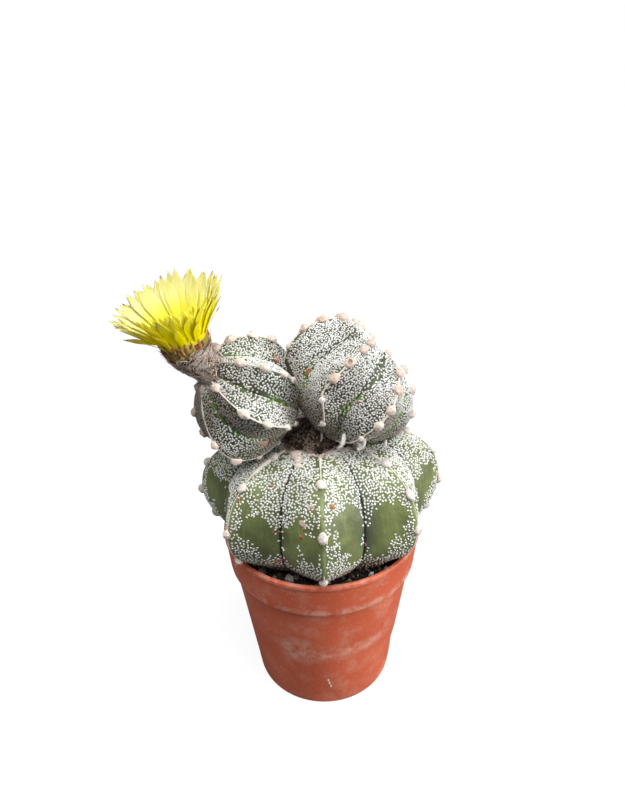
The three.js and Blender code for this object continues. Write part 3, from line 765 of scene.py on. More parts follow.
def mainFleckColors(spot, random):
    # bright white, browner towards the lower margin and inside the cut
    white = np.array([0.84, 0.84, 0.82]) * random.uniform(0.86, 1.05, (len(spot["reach"]), 1))
    share = np.maximum(smoothStep(56, 63, spot["reach"]), 1 - smoothStep(-4, 0, spot["reach"]))
    share = np.maximum(share, 0.12 * smoothStep(0.1, 0.6, lumps(spot["points"], 9, 71)))[:, None]
    return white * (1 - share) + np.array([0.42, 0.31, 0.25]) * share


def offsetFleckColors(spot, random):
    # greyish white, browner in broad patches and towards the base, where the lower half's browning is partly
    # painted shade; browner on undersides and where the left offset turns away from the light, which is
    # painted shade
    white = np.array([0.81, 0.81, 0.79]) * random.uniform(0.82, 1.06, (len(spot["reach"]), 1))
    x, out, up = spot["points"][:, 0], spot["normals"][:, 0], spot["normals"][:, 2]
    turnedAwayShade = smoothStep(0.0, -0.5, out) * smoothStep(-4, -14, x) * smoothStep(0.6, 0.2, up)
    # the share low on the offset is partly painted shade, those for undersides and the side turned away are
    # painted shade, the lumps are real brown patches
    shares = [0.85 * smoothStep(92, 138, spot["reach"]), 0.75 * smoothStep(0.1, -0.5, up), 0.85 * turnedAwayShade,
              0.3 * smoothStep(0.0, 0.6, lumps(spot["points"], 9, 73))]
    share = np.max(shares, axis=0)[:, None]
    return np.clip(white * (1 - share) + np.array([0.25, 0.19, 0.15]) * share, 0, 0.9)


def lowDome(sides):
    # a sunk ring, a higher and narrower ring, and a top point
    points = turned(np.array([[1], [0.86]]), circle(sides), np.array([[-0.3], [0.62]]))
    points = np.concatenate([points.reshape(-1, 3), [[0, 0, 1.0]]])
    j = np.arange(sides)
    k = (j + 1) % sides
    quads = np.stack([j, k, sides + k, sides + j], axis=-1)
    tops = np.stack([sides + j, sides + k, np.full(sides, 2 * sides)], axis=-1)
    return points, [quads, tops]


def layOnSkin(shape, sizes, places, normals, turns, bend):
    # copies of a small shape, sized, bent sideways like a worm, turned about the normal and put in place
    local = shape[None] * sizes[:, None, :]
    local[..., 1] += bend[:, None] * local[..., 0] ** 2
    side = unit(np.cross(normals, [0.13, 0.29, 0.95]))
    other = np.cross(normals, side)
    cos, sin = np.cos(turns)[:, None], np.sin(turns)[:, None]
    axes = np.stack([side * cos + other * sin, other * cos - side * sin, normals], axis=1)
    return np.einsum("nki,nij->nkj", local, axes) + places[:, None]


def woolMaterial(name, dark, scale):
    # matt felt: its colour comes from the points, dimmed in its pits, with a fine fibrous bump
    material, tree = newMaterial(name)
    fibres = noise(tree, scale, 4, 0.7)
    pits = fromTo(tree, fibres, 0.3, 0.62, dark, 0.0)
    return finished(material, mixed(tree, pits, pointValue(tree, "tint", "Color"), (0.3, 0.24, 0.2)), {
        "Roughness": 0.95, "Specular IOR Level": 0.15, "Sheen Weight": 0.25, "Sheen Roughness": 0.5,
        "Normal": bumped(tree, fibres, 0.0006, 0.7),
    })


fleckMaterial = woolMaterial("fleck_wool", 0.12, 2600)
areoleMaterial = woolMaterial("areole_wool", 0.3, 1500)
hairMaterial = woolMaterial("wool_hair", 0.15, 3000)
scabMaterial = woolMaterial("scab", 0.7, 1300)


def makeFlecks(key, coverOf, colorsOf):
    # a crowd of places is thinned by the cover and by the other heads, then to an even spacing
    setting = flecks[key]
    random = np.random.default_rng(setting["seed"])
    spot = pickOnSkin(skins[key], setting["crowd"], random)
    wanted = (random.random(setting["crowd"]) < coverOf(spot)) & (spot["points"][:, 2] > lowestFleck)
    for other in {"left", "right"} - {key}:
        wanted &= ~inOffset(spot["points"], heads[other], 0.93)
    spot = {name: value[wanted] for name, value in spot.items()}
    under = smoothStep(0.25, -0.45, spot["normals"][:, 2])
    high = setting["denser"] * smoothStep(*setting["denserFrom"], spot["points"][:, 2] - rimHeight)
    room = setting["spacing"] * (1 + 0.16 * lumps(spot["points"], 5, 61) + 0.2 * under - high)
    kept = evenlySpaced(spot["points"], room, setting["seed"])
    spot = {name: value[kept] for name, value in spot.items()}
    count = len(kept)
    long = random.uniform(*setting["length"], count)
    wide = setting["width"] * random.uniform(0.8, 1.15, count)
    sizes = np.stack([long, wide, setting["height"] * random.uniform(0.7, 1.3, count)], axis=-1)
    shape, faces = lowDome(fleckSides)
    turns = random.uniform(0, 2 * np.pi, count)
    bend = random.uniform(-0.9, 0.9, count)
    points = layOnSkin(shape, sizes, spot["points"], unit(spot["normals"]), turns, bend)
    faces = manyCopies(len(shape), faces, count)
    settle(makeObject(key + "_flecks", points, faces, fleckMaterial, tint=colorsOf(spot, random)), "stem")


makeFlecks("main", mainCover, mainFleckColors)
makeFlecks("left", offsetCover, offsetFleckColors)
makeFlecks("right", offsetCover, offsetFleckColors)


# Areoles with their wool, and the felt line along each crest

areoleWool = {
    "radius": 1.72, "height": 1.55, "rings": 9, "sides": 18, "hairs": 26, "hairLength": 1.3,
    "hairRadius": 0.045, "stretch": 1.1, "hollowed": ("right", 8), "hollowColor": (0.24, 0.12, 0.07),
    "tints": {
        "main": ((0.80, 0.74, 0.68), (0.78, 0.67, 0.59)),
        "left": ((0.76, 0.60, 0.51), (0.78, 0.70, 0.63)),
        "right": ((0.70, 0.50, 0.39), (0.78, 0.71, 0.65)),
    },
    # each head's areoles shift from the second tint towards the first in this direction: partly the wool's
    # own pink-tan, partly painted light and shade by where each sits
    "pinkAndShadeTowards": {"main": (0, 0, 1), "left": (-1, 0, 0), "right": (0.4, 0, 0.9)},
}
frontAreole = 0.45
feltLine = {"radius": 0.36, "steps": 110, "sides": 6, "mainLength": 60, "offsetReach": (14, 146),
            "mainTint": (0.80, 0.74, 0.68), "offsetTint": (0.74, 0.66, 0.59)}


def areolePlaces(key):
    # every areole's place, direction and size, where the CAD has it; low ones on an offset are smaller
    head = heads[key]
    reach = np.concatenate(head["areoles"])
    angle = np.radians(np.repeat(head["ribAngles"], [len(row) for row in head["areoles"]]))
    size = 1 - (1 - offsetShape["worn"]) * smoothStep(*offsetShape["wornFrom"], reach)
    if key == "main":
        size = np.append(frontAreole, np.ones(len(reach) - 1))
    along = unit(surfaceOf(key, reach + 0.5, angle) - surfaceOf(key, reach - 0.5, angle))
    return (*placeOn(key, reach, angle), along, size)


def woolBalls(places, normals, along, size, hollowed, seed):
    # domes of felt: rings from the foot to the top, longer and pointed along the crest, lumpy, each with
    # its own width, height and tilt; a hollowed one sinks in its middle. Also gives how deep each point is
    random = np.random.default_rng(seed)
    dome = ballRows(np.linspace(0.06, 0.62, areoleWool["rings"]), areoleWool["sides"])
    flat = np.hypot(dome[..., 0], dome[..., 1])
    dome[..., 0] *= 1 + 0.22 * (dome[..., 0] / flat) ** 4 * flat ** 2
    shape, faces = closedSkin(dome)
    count = len(places)
    wide = areoleWool["radius"]
    sizes = [[wide * areoleWool["stretch"], wide, areoleWool["height"]]] * size[:, None]
    sizes = sizes * random.uniform(0.88, 1.12, (count, 3))
    up = unit(normals + random.normal(0, 0.12, (count, 3)))
    side = unit(np.cross(up, along))
    axes = np.stack([np.cross(side, up), side, up], axis=1)
    points = np.einsum("nki,nij->nkj", shape * sizes[:, None], axes) + (places + normals * 0.2)[:, None]
    out = unit(points - places[:, None] + normals[:, None] * 0.4)
    worn = 0.26 * layeredLumps(points, 1.3, seed) + 0.16 * layeredLumps(points, 0.5, seed + 5)
    points = points + out * (worn * size[:, None])[..., None]
    middle = np.exp(-(np.hypot(shape[:, 0], shape[:, 1]) / 0.5) ** 4) * (shape[:, 2] > 0)
    deep = hollowed[:, None] * middle
    points = points - up[:, None] * (1.3 * deep)[..., None]
    return points, manyCopies(len(shape), faces, count), deep.reshape(-1, 1)


def makeAreoles(seed, key):
    random = np.random.default_rng(seed)
    places, normals, along, size = areolePlaces(key)
    total = len(places)
    hollowed = (np.arange(total) == areoleWool["hollowed"][1]) & (key == areoleWool["hollowed"][0])
    points, faces, deep = woolBalls(places, normals, along, size, hollowed, 80 + seed)
    # tints blended by place along a direction: partly the wool's own tone, partly painted light and shade
    far = places @ np.array(areoleWool["pinkAndShadeTowards"][key])
    share = 0.4 * random.random(total) + 0.6 * smoothStep(0.35, 0.85, (far - far.min()) / np.ptp(far))
    share = (share * smoothStep(0.6, 1, size))[:, None]
    pink, pale = np.array(areoleWool["tints"][key])
    tint = (pink * share + pale * (1 - share)) * random.uniform(0.85, 1.05, (total, 1))
    ballTint = np.repeat(tint, len(deep) // total, axis=0) * (1 - deep) + areoleWool["hollowColor"] * deep
    settle(makeObject(key + "_areoles", points, faces, areoleMaterial, tint=ballTint), "stem")
    hairs = areoleWool["hairs"]
    count = total * hairs
    around = unit(random.normal(size=(count, 3)) + 0.7 * np.repeat(normals, hairs, axis=0))
    thick = np.repeat(size, hairs)
    roots = np.repeat(places + normals * 0.4, hairs, axis=0) + around * 1.15 * thick[:, None]
    lengths = areoleWool["hairLength"] * random.uniform(0.4, 1.2, count) * thick
    paths = curledHairs(roots, around + 0.5 * random.normal(size=(count, 3)), lengths, 0.2, 5, 90 + seed)
    radii = areoleWool["hairRadius"] * np.linspace(1, 0.3, 5) * np.ones((count, 1))
    hairTint = np.repeat(tint * 1.05, hairs, axis=0)
    placeTubes(key + "_areole_hairs", paths, radii, 3, hairMaterial, hairTint, "stem")


def feltLines():
    # a thin felt seam along every crest, thicker and thinner as it goes, thinner still on the front rib
    paths, radii, tints = [], [], []
    share = np.linspace(0, 1, feltLine["steps"])
    far = share * feltLine["mainLength"]
    for rib, degrees in enumerate(mainStem["ribAngles"]):
        path, out = placeOn("main", 1 + far, np.radians(degrees))
        top, low, end = (0.45, 0.0, 9) if rib == 0 else (0.85, 0.2, 17)
        fat = np.interp(far, [0, end - 5, end, end + 4, end + 8, 50, 54, 60],
                        [top, top, 0.5 * top, 0.5 * low + 0.1, low, low, 0.22, 0.32])
        fat = fat * (1 + 0.5 * layeredLumps(path, 4, 90 + rib))
        paths.append(path - out * (0.25 * fat + 0.12 * (fat < 0.05))[:, None])
        radii.append(np.maximum(fat, 0.05))
        tints.append(feltLine["mainTint"])
    for key, head in (("left", leftOffset), ("right", rightOffset)):
        for rib, degrees in enumerate(head["ribAngles"]):
            reach = feltLine["offsetReach"][0] + share * np.ptp(feltLine["offsetReach"])
            path, out = placeOn(key, reach, np.radians(degrees))
            nearest = np.min(np.abs(reach[:, None] - head["areoles"][rib]), axis=1)
            fat = feltLine["radius"] * (0.85 + 0.35 * layeredLumps(path, 3.5, 120 + rib))
            fat = fat * (1 + 0.6 * bell(nearest, 0, 5))
            paths.append(path + out * (0.1 * fat)[:, None])
            radii.append(fat)
            tints.append(feltLine["offsetTint"])
    placeTubes("crest_felt", np.array(paths), np.array(radii), feltLine["sides"], hairMaterial, tints, "stem")


for number, key in enumerate(heads):
    makeAreoles(number, key)
feltLines()


# Scars, the dry cut edge and the curled tufts under the right offset

scarColors = {"wool": (0.80, 0.68, 0.60), "red": (0.36, 0.05, 0.02), "rust": (0.42, 0.15, 0.06),
              "tan": (0.50, 0.30, 0.20), "pale": (0.62, 0.44, 0.34)}
# reach, angle, length, width and colour
scars = {
    "main": [
        (22.4, -121, 0.9, 0.5, "red"), (29.2, -133.3, 0.9, 0.7, "red"), (26.8, -95.3, 1.4, 0.9, "tan"),
        (33.8, -99.5, 1.7, 1.2, "pale"), (35.6, -98.6, 1.0, 0.6, "rust"), (38.9, -99.8, 0.9, 0.7, "red"),
        (41.7, -115.5, 0.5, 0.6, "red"), (41.9, -112.9, 0.5, 0.7, "red"), (26.9, -85, 1.3, 0.9, "rust"),
        (29.7, -89.4, 0.5, 0.5, "red"), (49.2, -67, 0.5, 0.8, "red"), (57.5, -115.9, 1.9, 1.2, "rust"),
        (56.0, -113.0, 1.0, 0.9, "red"), (24, 62, 1.2, 0.8, "tan"), (33, 108, 1.5, 0.9, "rust"),
        (40, 171, 0.9, 0.7, "red"), (30, 20, 1.1, 0.7, "tan"), (2.2, -119.5, 2.6, 2.2, "wool"),
        (4.6, -115.5, 2.2, 2.1, "wool"), (7.4, -111.5, 2.0, 1.7, "wool"), (10.4, -109.0, 1.4, 1.2, "wool"),
        (0.2, -110.2, 1.1, 0.8, "rust"), (2.6, -114.8, 0.7, 0.5, "red"), (0.8, -98.0, 0.6, 0.5, "red"),
        (1.4, -84.5, 0.6, 0.5, "red"), (-0.4, -120, 1.0, 0.6, "red"),
    ],
    "left": [
        (99.6, -13.5, 1.6, 1.0, "red"), (97.0, -11.0, 1.2, 0.8, "rust"), (109.3, -123.7, 2.4, 1.2, "tan"),
        (117.6, -119, 1.6, 0.8, "red"), (112.5, -128.5, 1.4, 0.8, "rust"), (70, 150, 1.1, 0.8, "tan"),
    ],
    "right": [
        (106.9, 23.5, 1.8, 1.3, "rust"), (91.6, 76.5, 0.4, 0.4, "red"), (80, 240, 1.2, 0.8, "tan"),
    ],
}
scarHeight = {"wool": 0.9, "other": 0.34}
cutRim = {
    "columns": 420, "fibres": 560, "seed": 401, "angles": (-205, 25),
    "reach": [-1.9, -1.5, -1.0, -0.4, 0.2, 0.7, 1.2, 1.6, 1.2, 0.2, -1.2],
    "lift": [-0.5, 0.4, 1.1, 1.4, 1.2, 0.7, 0.25, -0.4, -1.1, -1.3, -1.1],
    "tints": [(0.82, 0.72, 0.65), (0.66, 0.48, 0.39), (0.30, 0.14, 0.09), (0.85, 0.82, 0.78)],
    "tintShares": [0.35, 0.17, 0.08, 0.4],
}
# each tuft's foot, bend and tip, and its radius
tufts = {
    "bends": [
        [(9.0, -22.6, 134.2), (9.2, -25.4, 132.2), (6.8, -25.0, 129.9)],
        [(16.0, -22.9, 132.9), (17.0, -25.6, 130.8), (13.9, -25.2, 128.9)],
        [(25.6, -14.9, 126.6), (25.4, -17.4, 125.6), (23.2, -17.2, 123.4)],
        [(1.0, -13.2, 130.0), (1.2, -14.9, 128.4), (0.4, -14.6, 127.0)],
    ],
    "radii": [0.85, 0.9, 0.7, 0.5], "steps": 14, "sides": 12, "tint": (0.74, 0.72, 0.70),
}


def makeScars():
    # flat scabs with a rough outline, pushed about by noise
    shape, faces = closedSkin(ballRows([0.18, 0.36, 0.56], 14))
    rows = [row for part in scars.values() for row in part]
    spots = [placeOn(key, np.array([row[0] for row in part], float), np.radians([row[1] for row in part]))
             for key, part in scars.items()]
    places, normals = (np.concatenate(parts) for parts in zip(*spots))
    sizes = np.array([[long, wide, scarHeight.get(color, scarHeight["other"])]
                      for _, _, long, wide, color in rows])
    points = layOnSkin(shape, sizes, places, normals, np.arange(len(rows)) * 1.9, np.zeros(len(rows)))
    faces = manyCopies(len(shape), faces, len(rows))
    tint = [scarColors[row[4]] for row in rows]
    settle(makeObject("scars", shaken(points, 0.25, 0.9, 410), faces, scabMaterial, tint=tint), "stem")


def makeCutRim():
    # the torn edge of the cut: a thin closed band over the edge, raised and frayed by noise
    angle = circle(cutRim["columns"])
    around = turned(20, angle, 0.0)
    rag = 0.5 + 0.55 * layeredLumps(around, 2.2, 421) + 0.35 * layeredLumps(around, 7, 423)
    wander = 0.5 * layeredLumps(around, 3, 425)
    rows = []
    for reach, lift in zip(cutRim["reach"], cutRim["lift"]):
        place, out = placeOn("main", reach + wander, angle)
        rows.append(place + out * (lift * (0.35 + np.clip(rag, 0, 1.6)))[:, None])
    faces = ringFaces(len(rows) + 1, cutRim["columns"]) % (len(rows) * cutRim["columns"])
    material, tree = newMaterial("dry_edge")
    color = layered(tree, (0.50, 0.34, 0.27),
                    (cloud(tree, 420, 6, 0.38, 0.62, rough=0.75), (0.86, 0.77, 0.70)),
                    (cloud(tree, 170, 3, 0.6, 0.7), (0.20, 0.08, 0.05)))
    frayed = bumped(tree, noise(tree, 900, 5, 0.75), 0.001, 0.9)
    finished(material, color, {"Roughness": 0.95, "Normal": frayed})
    settle(makeObject("cut_edge", shaken(np.array(rows), 0.22, 1.1, 430), [faces], material), "stem")


def makeCutFibres():
    # fibres that lie along the cut edge, and about a third that run down into the furrows
    random = np.random.default_rng(cutRim["seed"])
    count = cutRim["fibres"]
    angle = np.radians(random.uniform(*cutRim["angles"], count))
    furrow = random.random(count) < 0.3
    furrows = furrow.sum()
    angle[furrow] = np.radians(-112.5 + 45 * random.integers(-1, 4, furrows) + random.normal(0, 4, furrows))
    roots, out = placeOn("main", random.normal(0.2, 1.3, count) + furrow * random.uniform(0, 5, count), angle)
    around = turned(1, angle + np.pi / 2, 0.0) * random.choice([-1, 1], (count, 1))
    down = np.cross(around, out)
    down = down * np.sign(-down[:, 2:])
    heading = around * random.uniform(0.3, 1, (count, 1)) + out * random.uniform(-0.05, 0.3, (count, 1))
    fall = np.where(furrow, random.uniform(0.5, 2, count), random.uniform(-0.3, 0.6, count))[:, None]
    lengths = random.uniform(1.5, 5.0, count)
    paths = curledHairs(roots + out * 0.35, heading + down * fall, lengths, 0.13, 7, 433)
    radii = random.uniform(0.06, 0.13, (count, 1)) * np.linspace(1, 0.4, 7)
    tint = pickTints(random, cutRim["tints"], cutRim["tintShares"], count, (0.8, 1.1))
    placeTubes("cut_edge_fibres", paths, radii, 4, hairMaterial, tint, "stem")


def makeTufts():
    # short white horns of wool that hang and curl from the areoles under the right offset
    bends = np.array(tufts["bends"])
    t = np.linspace(0, 1, tufts["steps"])[:, None]
    paths = bent(bends[:, None, 0], bends[:, None, 1], bends[:, None, 2], t)
    radii = np.array(tufts["radii"])[:, None] * (0.75 + 0.25 * np.sin(np.linspace(0, 5, tufts["steps"])))
    placeTubes("hanging_tufts", paths, radii, tufts["sides"], areoleMaterial, [tufts["tint"]], "stem",
               move=lambda points: shaken(points, 0.2, 0.8, 440))


makeScars()
makeCutRim()
makeCutFibres()
makeTufts()
print("heads are dressed")


# Pot

pot = {
    "height": rimHeight, "footRadius": 31.3, "shoulderRadius": 39.7, "bandRadius": 41.3, "rimRadius": 42.5,
    "bandHeight": 16, "lipProud": 0.4, "wall": 1.3, "floor": 2.2, "longestStep": 1.5,
    "reliefs": 6, "reliefHeight": 14, "reliefHalfWidth": 7, "reliefDepth": 1.1, "dent": 1.0,
    "drainHoles": 6, "drainRadius": 3, "drainRing": 22, "drainRound": 0.4, "floorJoin": 29.4, "columns": 192,
}


def wallRadius(z):
    # straight from the foot to the shoulder under the rim band
    shoulder = pot["height"] - pot["bandHeight"]
    return pot["footRadius"] + (pot["shoulderRadius"] - pot["footRadius"]) * z / shoulder


def roundedLine(corners, longest):
    # a line through corners (radius, height, rounding): each corner is a small parabola, the rest straight
    place = np.array([corner[:2] for corner in corners], float)
    parts = [place[:1]]
    for k in range(1, len(corners) - 1):
        before, after = unit(place[k - 1] - place[k]), unit(place[k + 1] - place[k])
        start, end = place[k] + before * corners[k][2], place[k] + after * corners[k][2]
        parts.append(bent(start, place[k], end, np.linspace(0, 1, 6)[:, None]))
    line = np.concatenate(parts + [place[-1:]])
    lengths = np.linalg.norm(np.diff(line, axis=0), axis=1)
    pieces = [np.linspace(line[i], line[i + 1], max(2, int(np.ceil(lengths[i] / longest)) + 1))[:-1]
              for i in range(len(lengths)) if lengths[i] > 1e-6]
    return np.concatenate(pieces + [line[-1:]])


def potShape(points):
    # the round pot pressed out of true: an inverted V at each relief, a dent low on the right, faint waves
    r = np.hypot(points[..., 0], points[..., 1])
    z = points[..., 2]
    angle = np.arctan2(points[..., 1], points[..., 0])
    pitch = 2 * np.pi / pot["reliefs"]
    fromRelief = (angle + np.pi / 2 + pitch / 2) % pitch - pitch / 2
    half = pot["reliefHalfWidth"] * (1 - z / pot["reliefHeight"])
    inside = smoothStep(-1.6, 1.4, half - np.abs(fromRelief) * r)
    inside = inside * smoothStep(0.2, 1.6, pot["reliefHeight"] - z)
    outer = smoothStep(-0.9, -0.4, r - wallRadius(z)) * smoothStep(0.2, 2.5, z)
    push = pot["reliefDepth"] * inside * outer * (0.15 + 0.8 * np.maximum(np.cos(angle + 0.3), 0) ** 2)
    push = push + pot["dent"] * bell(angle, -0.28, 0.16) * bell(z, 17, 5) * (r > 25)
    wave = 0.12 * layeredLumps(points * [1, 1, 0.6], 22, 131) * smoothStep(2, 12, z)
    share = 1 + (wave - push) / np.maximum(r, 1)
    return points * np.stack([share, share, np.ones_like(share)], axis=-1)


def potWall():
    # the wall's section, from the foot up the outside, over the lip and down the inside, turned round
    top, wall, join = pot["height"], pot["wall"], pot["floorJoin"]
    band = top - pot["bandHeight"]
    lip = pot["rimRadius"] + pot["lipProud"]
    corners = [
        (join, 0, 0), (pot["footRadius"], 0, 0.9), (wallRadius(band - 1.6), band - 1.6, 0.5),
        (pot["bandRadius"] - 0.2, band - 0.4, 0.5), (pot["bandRadius"], band + 0.7, 0.5),
        (pot["rimRadius"] - 0.05, top - 2.6, 0.4), (lip, top - 2.0, 0.3), (lip, top, 0.85),
        (pot["rimRadius"] - wall, top, 0.5), (pot["bandRadius"] - wall, band + 1, 0.4),
        (wallRadius(band) - wall, band - 1.4, 0.4), (wallRadius(pot["floor"]) - wall, pot["floor"], 0.4),
        (join, pot["floor"], 0),
    ]
    line = roundedLine(corners, pot["longestStep"])
    grid = turned(line[:, :1], circle(pot["columns"]), line[:, 1:])
    return grid.reshape(-1, 3), ringFaces(len(line), pot["columns"])[:, ::-1]


def potFloor():
    # six sectors, each a sheet from its edge to its drain hole below, and back to its edge above
    count = pot["drainHoles"]
    half = np.pi / count
    arc = turned(pot["floorJoin"], np.linspace(-half, half, pot["columns"] // count + 1), 0.0)[:, :2]
    line = np.linspace(1, 0, 14)[1:, None]
    edge = np.concatenate([arc, arc[-1] * line, (arc[0] * line[::-1])[1:-1]])
    hole = np.array([pot["drainRing"], 0.0])
    away = unit(edge - hole)
    rim = hole + pot["drainRadius"] * away
    lip = hole + (pot["drainRadius"] + pot["drainRound"]) * away
    middle = (edge + lip) / 2
    rows = [edge, middle, lip, rim, rim, lip, middle, edge]
    thick, rounded = pot["floor"], pot["drainRound"]
    heights = np.array([0, 0, 0, rounded, thick - rounded, thick, thick, thick])[:, None]
    x, y = np.moveaxis(np.array(rows), -1, 0)
    points = spun(x, y, heights, (circle(count) + half)[:, None, None])
    faces = ringFaces(len(rows), len(edge))
    return points.reshape(-1, 3), manyCopies(len(rows) * len(edge), [faces], count)[0]


def potMaterial():
    # dull terracotta-coloured plastic: clouded colour, chalky dust, a pale low belt, pale lines at the band's
    # step and on the lip that are dust and partly painted highlight, specks, scratches, and a worn nick with
    # a painted glint
    material, tree = newMaterial("pot_plastic")
    place = objectPlace(tree)
    height = addNode(tree, "SeparateXYZ", {0: place}, "Z")

    def spot(middle, size, start, end):
        # 1 round its middle, fading to 0 over its size
        shift = tuple(-v / s for v, s in zip(middle, size))
        inputs = {"Vector": place, "Location": shift, "Scale": tuple(1 / s for s in size)}
        far = addNode(tree, "VectorMath", {0: addNode(tree, "Mapping", inputs)}, "Value", operation="LENGTH")
        return fromTo(tree, far, start, end, 1.0, 0.0)

    dusty = cloud(tree, 210, 8, 0.36, 0.62, rough=0.8, distortion=0.2)
    dustAndHighlight = combine(
        tree, "MAXIMUM",
        times(tree, spot((-0.0105, -0.034, 0.0365), (0.0135, 0.02, 0.0115), 0.3, 1.0), dusty),
        times(tree, spot((-0.001, -0.036, 0.0345), (0.006, 0.02, 0.005), 0.3, 1.0), dusty),
        times(tree, spot((0.016, -0.036, 0.0362), (0.026, 0.03, 0.0055), 0.2, 1.0), dusty, 0.8),
        times(tree, cloud(tree, 80, 4, 0.46, 0.62, rough=0.6), dusty, 0.36),
        times(tree, fromTo(tree, height, 0.002, 0.014, 0.25, 0.0), dusty),
        # a pale line at the band's step and pale mottling on the lip: dust, partly a painted highlight along
        # those edges
        times(tree, fromTo(tree, height, 0.0618, 0.063), fromTo(tree, height, 0.0645, 0.0675, 1.0, 0.0),
              cloud(tree, 150, 6, 0.42, 0.64, rough=0.72, distortion=0.4), 0.8),
        times(tree, fromTo(tree, height, 0.0765, 0.0785), cloud(tree, 260, 4, 0.4, 0.6, 0.0, 0.5, rough=0.7)))
    # pale marks along the right leg of the front V: a worn nick, partly a painted glint where the ridge
    # catches the light
    nickAndGlint = combine(
        tree, "MAXIMUM",
        spot((0.0011, -0.0336, 0.0172), (0.0006, 0.004, 0.0013), 0.3, 0.9),
        spot((0.0016, -0.0333, 0.0152), (0.0006, 0.004, 0.0016), 0.3, 0.9),
        spot((0.0022, -0.0329, 0.0128), (0.0006, 0.004, 0.0018), 0.3, 0.9))
    cells = addNode(tree, "TexVoronoi", {"Vector": place, "Scale": 420})
    specks = times(tree, fromTo(tree, cells, 0.05, 0.11, 1.0, 0.0), cloud(tree, 90, 2, 0.52, 0.62))
    inputs = {"Vector": place, "Rotation": (0.3, 0.2, 0.7), "Scale": (900, 60, 260)}
    stretched = addNode(tree, "Mapping", inputs)
    scratches = times(tree, cloud(tree, 1.0, 2, 0.71, 0.74, place=stretched), cloud(tree, 50, 2, 0.55, 0.62))
    color = layered(
        tree, (0.54, 0.099, 0.041),
        (cloud(tree, 38, 4, 0.35, 0.7, rough=0.6), (0.61, 0.121, 0.051)),
        (cloud(tree, 700, 3, 0.5, 0.8, 0.0, 0.4, rough=0.6), (0.68, 0.25, 0.16)),
        (times(tree, dustAndHighlight, 0.76), (0.68, 0.41, 0.32)), (nickAndGlint, (0.86, 0.78, 0.72)),
        (specks, (0.75, 0.52, 0.42)), (times(tree, scratches, 0.5), (0.72, 0.42, 0.32)))
    fine = bumped(tree, noise(tree, 1400, 2), 0.0003, 0.25)
    return finished(material, color, {
        "Roughness": fromTo(tree, dustAndHighlight, 0.0, 0.8, 0.5, 0.85), "Specular IOR Level": 0.28,
        "Normal": bumped(tree, scratches, 0.0002, 0.5, fine),
    })


wallPoints, wallFaces = potWall()
floorPoints, floorFaces = potFloor()
potPoints = potShape(np.concatenate([wallPoints, floorPoints]))
potFaces = [wallFaces, floorFaces + len(wallPoints)]
settle(makeObject("pot_shell", potPoints, potFaces, potMaterial()), "pot", "pot")
print("pot is made")


# Soil

soil = {
    "level": 76.6, "columns": 160, "topRadii": (6, 40.3, 56), "seed": 17, "stones": 620, "straws": 70,
    "underRadii": [40.1, 37.6, 29.7, 8], "underHeights": [66.0, 61.5, 2.6, 2.6], "wall": 39.9,
    "stoneTints": [(0.03, 0.022, 0.016), (0.10, 0.075, 0.055), (0.16, 0.13, 0.105), (0.24, 0.20, 0.16),
                   (0.5, 0.49, 0.46)],
    "stoneShares": [0.4, 0.26, 0.18, 0.11, 0.05],
    "strawTints": [(0.32, 0.22, 0.13), (0.13, 0.075, 0.045)],
}
# stones that stand out at the front: x, y, size and colour
frontStones = [(-24.4, -30.4, 2.3, (0.26, 0.24, 0.2)), (-13.2, -35.3, 2.2, (0.3, 0.26, 0.23)),
               (18.8, -33.8, 1.4, (0.6, 0.62, 0.64))]


def soilHeight(x, y):
    # the level with broad waves, and crumbs that get finer
    place = np.stack([x, y, np.zeros_like(x)], axis=-1)
    return soil["level"] - 0.7 + 0.5 * lumps(place, 9, 151) + 0.7 * layeredLumps(place, 2.6, 153, 4)


def makeSoilBed():
    # crumbly top out to the wall, then a plain side and bottom inside the pot
    radii = np.concatenate([np.linspace(*soil["topRadii"]), soil["underRadii"]])
    bed = turned(radii[:, None], circle(soil["columns"]), 0.0)
    bed[..., 2] = soilHeight(bed[..., 0], bed[..., 1])
    bed[-len(soil["underHeights"]):, :, 2] = np.array(soil["underHeights"])[:, None]
    material, tree = newMaterial("potting_mix")
    crumbs = addNode(tree, "TexVoronoi", {"Vector": objectPlace(tree), "Scale": 900})
    color = layered(tree, (0.012, 0.009, 0.007),
                    (cloud(tree, 300, 6, 0.4, 0.7, rough=0.75), (0.055, 0.038, 0.026)),
                    (fromTo(tree, crumbs, 0.1, 0.25, 0.6, 0.0), (0.10, 0.07, 0.045)))
    finished(material, color, {"Roughness": 0.95, "Specular IOR Level": 0.2,
                               "Normal": bumped(tree, noise(tree, 800, 5, 0.75), 0.0012, 0.9)})
    settle(makeObject("soil_bed", *closedSkin(bed), material), "soil", "soil")


def stoneMaterial():
    material, tree = newMaterial("grit")
    dirt = cloud(tree, 1100, 4, 0.35, 0.65, 0.55, 0.0)
    return finished(material, mixed(tree, dirt, pointValue(tree, "tint", "Color"), (0.05, 0.04, 0.03)), {
        "Roughness": 0.85, "Normal": bumped(tree, noise(tree, 1800), 0.0005, 0.5),
    })


